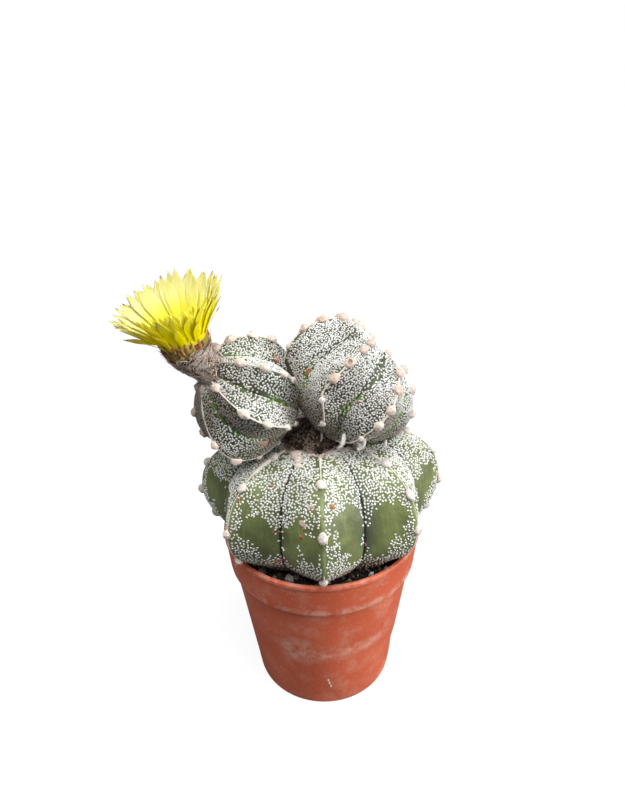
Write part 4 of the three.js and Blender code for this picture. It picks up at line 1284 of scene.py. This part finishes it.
def makeSoilBits():
    # grit stones: rough lumps of three rings, of all sizes, and a few pale ones; then loose straws
    random = np.random.default_rng(soil["seed"])
    material = stoneMaterial()
    count = soil["stones"]
    shape, faces = closedSkin(ballRows([0.2, 0.45, 0.75], 6))
    r = np.sqrt(random.uniform(26 ** 2, 39.4 ** 2, count))
    angle = random.uniform(0, 2 * np.pi, count)
    size = 0.35 + 1.25 * random.random(count) ** 3
    x, y = r * np.cos(angle), r * np.sin(angle)
    chosen = len(frontStones)
    x[:chosen], y[:chosen], size[:chosen], frontTints = zip(*frontStones)
    sizes = size[:, None] * random.uniform(0.65, 1.15, (count, 3))
    places = np.stack([x, y, soilHeight(x, y) + 0.25 * size], axis=-1)
    up = unit(random.normal(size=(count, 3)) * 0.8 + [0, 0, 1])
    points = layOnSkin(shape, sizes, places, up, random.uniform(0, 2 * np.pi, count), np.zeros(count))
    points = points + 0.16 * size[:, None, None] * random.normal(size=points.shape)
    tint = pickTints(random, soil["stoneTints"], soil["stoneShares"], count, (0.75, 1.2))
    tint[:chosen] = frontTints
    faces = manyCopies(len(shape), faces, count)
    settle(makeObject("soil_grit", points, faces, material, False, tint=tint), "soil")
    count = soil["straws"]
    r = random.uniform(30, 39, count)
    angle = random.uniform(0, 2 * np.pi, count)
    heading = turned(1, angle + np.pi / 2, random.uniform(0.0, 0.12, count))
    heading = heading + 0.5 * random.normal(size=(count, 3)) * [1, 1, 0.05]
    roots = turned(r, angle, soil["level"] - 0.2)
    paths = curledHairs(roots, heading, random.uniform(2, 6, count), 0.12, 7, 171)
    inward = np.minimum(1, soil["wall"] / np.hypot(paths[..., 0], paths[..., 1]))
    paths = paths * np.stack([inward, inward, np.ones_like(inward)], axis=-1)
    radii = random.uniform(0.09, 0.2, (count, 1)) * np.linspace(1, 0.5, 7)
    tint = np.array(soil["strawTints"])[random.integers(0, 2, count)]
    placeTubes("soil_straws", paths, radii, 4, material, tint, "soil")


makeSoilBed()
makeSoilBits()
print("soil is made")


# Flower

flower = {
    "base": [-35.2, -15.9, 78.9], "top": [-47.6, -13.6, 91.3], "axis": [-0.22, -0.17, 0.96], "bend": 0.72,
    "baseRadius": 4.8, "neckRadius": 5.2, "rimRadius": 9.1, "hairs": 1000, "hairSteps": 9, "seed": 203,
    "hairTints": [(0.86, 0.77, 0.69), (0.62, 0.47, 0.38), (0.20, 0.11, 0.08), (0.84, 0.60, 0.52)],
    "hairShares": [0.46, 0.16, 0.16, 0.22],
}
flowerAxes = uprightAxes(flower["axis"])
flowerBase = np.array(flower["base"]) + rimPoint
flowerTop = np.array(flower["top"]) + rimPoint
tubeLength = np.linalg.norm(flowerTop - flowerBase)
tubeMiddle = flowerTop - flower["bend"] * tubeLength * flowerAxes[2]


def inBloom(local):
    # from the flower's own frame, its axis up, to its place on the plant
    return local @ flowerAxes + flowerTop


def tubeSurface(share, angle, swell=0.0):
    # a quadratic curve from the crown to the bloom, as thick as the tube is there
    t = share[..., None]
    centre = bent(flowerBase, tubeMiddle, flowerTop, t)
    axes = uprightAxes(2 * (1 - t) * (tubeMiddle - flowerBase) + 2 * t * (flowerTop - tubeMiddle))
    r = flower["baseRadius"] + (flower["neckRadius"] - flower["baseRadius"]) * np.clip(share / 0.4, 0, 1)
    r = r + (flower["rimRadius"] - flower["neckRadius"]) * smoothStep(0.3, 1, share) + swell
    out = axes[..., 0, :] * np.cos(angle)[..., None] + axes[..., 1, :] * np.sin(angle)[..., None]
    return centre + out * r[..., None], out, axes[..., 2, :]


def makeTube():
    # felted grey-brown, greener and yellower towards the rim, with reddish blotches
    share, angle = np.meshgrid(np.linspace(1.0, -0.08, 40), circle(72), indexing="ij")
    points, out, _ = tubeSurface(share, angle, -0.15)
    points = points + out * (0.3 * layeredLumps(points, 2.6, 201))[..., None]
    material, tree = newMaterial("tube_felt")
    wool = mixed(tree, cloud(tree, 500, 5, 0.35, 0.65, rough=0.7), (0.035, 0.022, 0.017), (0.17, 0.12, 0.09))
    lively = mixed(tree, cloud(tree, 380, 3, 0.45, 0.6), (0.30, 0.27, 0.04), (0.22, 0.05, 0.03))
    high = fromTo(tree, pointValue(tree, "share"), 0.62, 0.95)
    finished(material, mixed(tree, high, wool, lively), {
        "Roughness": 0.9, "Normal": bumped(tree, noise(tree, 900, 4, 0.7), 0.0008, 0.8),
    })
    piece = makeObject("tube_skin", *closedSkin(points), material, share=withEnds(share[None]))
    settle(piece, "flower_tube", "flower_tube")


def makeTubeHairs():
    # strands that lie on the tube: each heads up it and swings from side to side, and its end lifts off
    random = np.random.default_rng(flower["seed"])
    count, steps = flower["hairs"], flower["hairSteps"]
    t = np.linspace(0, 1, steps)

    def draw(low, high):
        return random.uniform(low, high, (count, 1))

    heading = random.normal(0, 0.7, (count, 1)) + draw(0.4, 1.5) * np.sin(draw(3, 8) * t + draw(0, 6.28))
    stride = draw(2.2, 5.5) / steps
    share = random.beta(1.0, 1.25, (count, 1)) * 0.86 - 0.1
    share = share + np.cumsum(np.cos(heading) * stride, axis=1) / tubeLength
    angle = draw(0, 2 * np.pi) + np.cumsum(np.sin(heading) * stride, axis=1) / flower["neckRadius"]
    lift = 0.02 + draw(0, 0.35) + draw(0, 0.9) * t ** 2
    paths = tubeSurface(np.clip(share, -0.12, 1.02), angle, lift)[0]
    radii = draw(0.12, 0.24) * np.linspace(1, 0.4, steps)
    tint = pickTints(random, flower["hairTints"], flower["hairShares"], count, (0.8, 1.1))
    placeTubes("tube_wool", paths, radii, 3, hairMaterial, tint, "flower_tube")


# each whorl's tips (radius, height) to the left, the front, the right and the back of the bloom
whorls = [
    {"count": 12, "root": [8.9, 1.0], "tips": [[20.2, 7.2], [13.8, 11.5], [18.0, 11.0], [19.6, 12.2]],
     "bow": 0.1, "width": 3.4, "turn": 0.2, "red": 1.0, "deep": 0.5},
    {"count": 19, "root": [8.6, 1.3], "tips": [[21.0, 12.4], [15.2, 16.8], [19.8, 15.8], [21.3, 14.9]],
     "bow": 0.2, "width": 5.2, "turn": 0, "red": 0.6, "deep": 0.2},
    {"count": 20, "root": [8.1, 1.4], "tips": [[21.2, 14.8], [15.4, 17.6], [20.0, 16.8], [21.3, 16.2]],
     "bow": 0.15, "width": 5.2, "turn": 0.45, "red": 0.4, "deep": 0.08},
    {"count": 20, "root": [7.5, 1.5], "tips": [[20.4, 16.7], [15.2, 18.0], [19.8, 17.5], [20.9, 17.3]],
     "bow": 0.1, "width": 5.0, "turn": 0.1, "red": 0.2, "deep": 0},
    {"count": 17, "root": [6.8, 1.5], "tips": [[19.2, 17.8], [14.2, 17.6], [18.6, 17.9], [19.6, 18.1]],
     "bow": 0.0, "width": 4.8, "turn": 0.35, "red": 0.1, "deep": 0},
    {"count": 9, "root": [6.2, 1.5], "tips": [[16.4, 17.0], [12.8, 16.4], [16.2, 17.0], [16.6, 17.4]],
     "bow": -0.1, "width": 4.2, "turn": 0.6, "red": 0, "deep": 0},
]
sideAngles = (142, -128, -38, 52)
petalSheet = {"rows": 20, "cols": 7, "thickness": 0.2, "cup": 0.1, "taper": 0.32, "frontTaper": 0.34,
              "seed": 300}


def petalMaterial():
    # silky yellow: deep at the root, pale towards the tip with greyer tips of painted shade, fine veins along
    # it, dark points and keels, and a faint painted glow
    material, tree = newMaterial("petal")
    along, across, inner, deep = (pointValue(tree, name) for name in ("along", "across", "inner", "deep"))
    veins = noise(tree, 1.0, 3, 0.5, place=pointValue(tree, "grain", "Vector"))
    inside = layered(
        tree, (0.82, 0.73, 0.0),
        (fromTo(tree, along, 0.2, 0.45), (0.88, 0.83, 0.14)),
        (fromTo(tree, along, 0.35, 0.75), (0.85, 0.82, 0.42)),
        # greyer and darker towards the tip: painted shade for the thin tips that light passes through
        (fromTo(tree, along, 0.58, 0.98, 0.0, 0.85), (0.58, 0.56, 0.22)),
        (fromTo(tree, veins, 0.45, 0.7, 0.0, 0.45), (0.74, 0.66, 0.08)))
    outside = layered(tree, (0.86, 0.71, 0.0), (fromTo(tree, along, 0.45, 0.95), (0.88, 0.81, 0.10)),
                      (fromTo(tree, veins, 0.42, 0.7, 0.0, 0.5), (0.64, 0.51, 0.0)))
    middle = fromTo(tree, combine(tree, "ABSOLUTE", across, 0.0), 0.05, 0.4, 1.0, 0.0)
    back = times(tree, fromTo(tree, along, 0.62, 0.92), fromTo(tree, inner, 0.1, 0.5, 1.0, 0.0))
    reached = addNode(tree, "Math", {0: deep, 1: 0.25, 2: along}, operation="MULTIPLY_ADD")
    dark = combine(tree, "MAXIMUM", times(tree, middle, back), fromTo(tree, reached, 0.93, 1.0))
    color = layered(tree, outside, (inner, inside), (deep, (0.76, 0.63, 0.0)),
                    (times(tree, dark, pointValue(tree, "red")), (0.14, 0.03, 0.02)))
    return finished(material, color, {
        "Roughness": 0.5, "Specular IOR Level": 0.04, "Subsurface Weight": 0.8, "Subsurface Scale": 0.0006,
        # a faint glow in the petals' own colour: painted light that stands in for light shining through them
        "Subsurface Radius": (1.0, 0.9, 0.3), "Emission Color": color, "Emission Strength": 0.06,
        "Normal": bumped(tree, veins, 0.0005, 0.6),
    })


def bladeLift(inner, across, half, thickness):
    # the two sides of a thin leaf lie this far apart, less towards its edges and its point
    return thickness * (inner - 0.5) * (1 - across ** 4) * np.minimum(1, half / 0.4)


def petalWhorl(row, whorl):
    # each petal runs from its root to its tip with a slight bow, wide past its middle and drawn to a fine
    # point, sooner at the front; its edges turn up and wave a little, and the whole sheet twists. The tips
    # of the four sides are blended by the square of the cosine of the angle from each side, which add up
    # to 1. Gives the points and the values that the material reads, and the faces
    count = whorl["count"]
    random = np.random.default_rng(petalSheet["seed"] + row)
    i = np.arange(count)
    angle = (i + whorl["turn"]) / count * 2 * np.pi + 0.13 * (scatterValue(i, row) - 0.5)
    stretch = 1 + 0.1 * (scatterValue(i, row + 9) - 0.6)
    along, across, inner, faces = thinLeaves(count, petalSheet["rows"], petalSheet["cols"])
    start = np.array(whorl["root"], float)
    sides = np.maximum(np.cos(angle[:, None] - np.radians(sideAngles)), 0) ** 2
    reach = (sides @ np.array(whorl["tips"], float) - start) * stretch[:, None]
    normal = unit(np.stack([-reach[:, 1], reach[:, 0]], axis=-1))
    wide = 0.55 + 0.45 * smoothStep(0, 0.6, along)
    taper = (petalSheet["taper"] + petalSheet["frontTaper"] * sides[:, 1])[:, None, None]
    point = 1 - (1 - np.clip((0.985 - along) / taper, 0, 1)) ** 1.5
    bristle = 0.05 * np.clip((1 - along) / 0.1, 0, 1)
    half = 0.5 * whorl["width"] * np.maximum(wide * point, bristle) * random.uniform(0.88, 1.1, (count, 1, 1))
    twist = random.normal(0, 0.12, (count, 1, 1)) * along
    phase = random.uniform(0, 6.28, (count, 1, 1))
    cup = petalSheet["cup"] * across ** 2 * (1 - 0.6 * along) * half / (0.5 * whorl["width"])
    edge = 0.1 * np.abs(across) * along * np.sin(9 * along + phase + 2 * np.sign(across)) * (half > 0.3)
    curl = random.normal(0, 0.45, (count, 1, 1)) * smoothStep(0.5, 1, along)
    lift = np.sin(np.pi * along) * whorl["bow"] + cup + edge + curl + across * half * np.sin(twist)
    lift = lift + bladeLift(inner, across, half, petalSheet["thickness"])
    x = start[0] + reach[:, 0, None, None] * along + normal[:, 0, None, None] * lift
    z = start[1] + reach[:, 1, None, None] * along + normal[:, 1, None, None] * lift
    local = spun(x, across * half * np.cos(twist), z, angle[:, None, None])
    red = (random.random(count) < whorl["red"]) * random.uniform(0.5, 1, count)
    red = red * (1 - 0.9 * sides[:, 1] ** 0.7)
    deep = whorl["deep"] + random.uniform(0, 0.3, count) ** 1.4
    grain = np.stack([across * 7 + 20 * i[:, None, None], along * 2.2, row + 0 * along], axis=-1)
    values = {"points": inBloom(local), "along": along, "across": across,
              "red": red[:, None, None] + 0 * along, "grain": grain,
              "deep": deep[:, None, None] + 0 * along, "inner": inner}
    return {name: withEnds(value) for name, value in values.items()}, faces


def makePetals():
    parts = [petalWhorl(row, whorl) for row, whorl in enumerate(whorls)]
    firsts = np.cumsum([0] + [len(values["points"]) for values, _ in parts])
    faceSets = [np.concatenate([faces[k] + first for (_, faces), first in zip(parts, firsts)])
                for k in range(2)]
    joined = {name: np.concatenate([values[name] for values, _ in parts]) for name in parts[0][0]}
    points = joined.pop("points")
    settle(makeObject("petal_sheets", points, faceSets, petalMaterial(), **joined), "petals", "petals")


tubeScale = {"count": 110, "length": (3.0, 5.6), "width": (0.9, 1.6), "rows": 10, "cols": 5,
             "thickness": 0.24, "from": 0.36, "over": 0.62, "seed": 207}


def scaleMaterial():
    # greenish yellow at the root, pink-red edges, a dark red point
    material, tree = newMaterial("tube_scale")
    edge = fromTo(tree, combine(tree, "ABSOLUTE", pointValue(tree, "across"), 0.0), 0.3, 0.9)
    color = layered(tree, (0.40, 0.35, 0.03), (cloud(tree, 500, 3, 0.4, 0.65), (0.26, 0.12, 0.04)),
                    (times(tree, edge, pointValue(tree, "red")), (0.50, 0.05, 0.07)),
                    (fromTo(tree, pointValue(tree, "along"), 0.4, 0.75), (0.13, 0.02, 0.022)))
    return finished(material, color, {"Roughness": 0.6})


def makeScales():
    # pointed scales in a spiral up the tube, each a small sheet that lifts off it towards its point
    count = tubeScale["count"]
    random = np.random.default_rng(tubeScale["seed"])
    i = np.arange(count)
    rise = i / (count - 1)
    angle = i * goldenAngle + random.normal(0, 0.1, count)
    roots, out, up = (part[:, None, None] for part in tubeSurface(
        tubeScale["from"] + tubeScale["over"] * rise, angle))
    length = np.interp(rise, [0, 1], tubeScale["length"]) * random.uniform(0.85, 1.25, count)
    width = np.interp(rise, [0, 1], tubeScale["width"]) * random.uniform(0.85, 1.15, count)
    along, across, inner, faces = thinLeaves(count, tubeScale["rows"], tubeScale["cols"])
    half = 0.5 * width[:, None, None] * np.maximum((1 - along) ** 0.8 * (0.85 + 0.6 * along), 0.04)
    lift = 0.15 + 0.9 * along ** 2 * random.uniform(0.5, 1.8, (count, 1, 1)) - 0.35 * across ** 2 * half
    lift = lift + bladeLift(inner, across, half, tubeScale["thickness"])
    grid = roots + up * (along * length[:, None, None])[..., None]
    grid = grid + np.cross(out, up) * (across * half)[..., None] + out * lift[..., None]
    red = random.uniform(0.2, 1, (count, 1, 1)) + 0 * along
    piece = makeObject("tube_scales", withEnds(grid), faces, scaleMaterial(), along=withEnds(along),
                       across=withEnds(across), red=withEnds(red))
    settle(piece, "flower_tube")


bloomHeart = {
    "filaments": 110, "radius": 5.2, "height": 6.3, "spread": 5.8, "foot": 1.4, "steps": 9, "seed": 209,
    "filamentRadii": [0.13, 0.13, 0.12, 0.12, 0.11, 0.11, 0.36, 0.42, 0.28], "antherFrom": 6,
    "filamentTint": (0.86, 0.78, 0.02), "antherTint": (0.93, 0.84, 0.04),
    "styleFoot": 1.2, "styleHeight": 8.2, "styleRadius": 0.5, "lobes": 8, "styleTint": (0.88, 0.80, 0.12),
    "throat": [(0.5, 1.1), (3.0, 1.2), (6.4, 1.7), (8.1, 2.6), (8.9, 4.0), (9.3, 4.1), (9.2, 2.0), (8.9, 0.2),
               (6.0, -0.2)],
    "throatTint": (0.80, 0.68, 0.0),
}


def makeHeart():
    # the throat floor, thin curved filaments with an anther each, and a style with its lobes
    random = np.random.default_rng(bloomHeart["seed"])
    material, tree = newMaterial("stamen")
    grains = cloud(tree, 2500, 3, 0.4, 0.65, 0.25, 0.0)
    color = mixed(tree, grains, pointValue(tree, "tint", "Color"), (0.82, 0.70, 0.02))
    finished(material, color, {"Roughness": 0.8})
    count, steps = bloomHeart["filaments"], bloomHeart["steps"]
    share = np.sqrt((np.arange(count) + 6) / (count + 6))
    away = turned(1, np.arange(count) * goldenAngle, 0.0)
    t = np.linspace(0, 1, steps)[:, None]
    tipRadius = bloomHeart["spread"] * share * random.uniform(0.92, 1.06, count)
    tipHeight = bloomHeart["height"] * (1.1 - 0.32 * share) * random.uniform(0.9, 1.05, count) + 1.6
    foot = away * (0.85 * bloomHeart["radius"] * share)[:, None] + [0, 0, bloomHeart["foot"]]
    tip = away * tipRadius[:, None] + tipHeight[:, None] * [0, 0, 1]
    knee = (foot + tip) / 2 + away * 0.9
    paths = bent(foot[:, None], knee[:, None], tip[:, None], t)
    radii = np.array(bloomHeart["filamentRadii"]) * random.uniform(0.9, 1.1, (count, 1))
    anther = np.append(np.repeat(np.arange(steps) >= bloomHeart["antherFrom"], 5), [False, True])
    tint = np.where(np.tile(anther, count)[:, None], bloomHeart["antherTint"], bloomHeart["filamentTint"])
    placeTubes("filaments", paths, radii, 5, material, tint, "stamens", "stamens", move=inBloom)
    ring = turned(1, circle(bloomHeart["lobes"]), 0.0)
    height = np.array([0, 0, bloomHeart["styleHeight"]])
    lobes = height + ring[:, None] * (2.4 * t ** 1.2) + np.array([0, 0, 1.0]) * (2.2 * t - 0.7 * t * t)
    stem = np.array([0, 0, bloomHeart["styleFoot"]]) * (1 - t) + height * t
    paths = np.concatenate([lobes, stem[None]])
    radii = np.tile(np.linspace(0.3, 0.16, steps), (len(paths), 1))
    radii[-1] = bloomHeart["styleRadius"]
    placeTubes("style", paths, radii, 8, material, [bloomHeart["styleTint"]], "stamens", move=inBloom)
    rings = np.array(bloomHeart["throat"])
    cup = turned(rings[:, :1], circle(64), rings[:, 1:])
    tint = [bloomHeart["throatTint"]]
    settle(makeObject("throat", *closedSkin(inBloom(cup)), material, tint=tint), "petals")


makeTube()
makeTubeHairs()
makeScales()
makeHeart()
makePetals()
print("flower is made")
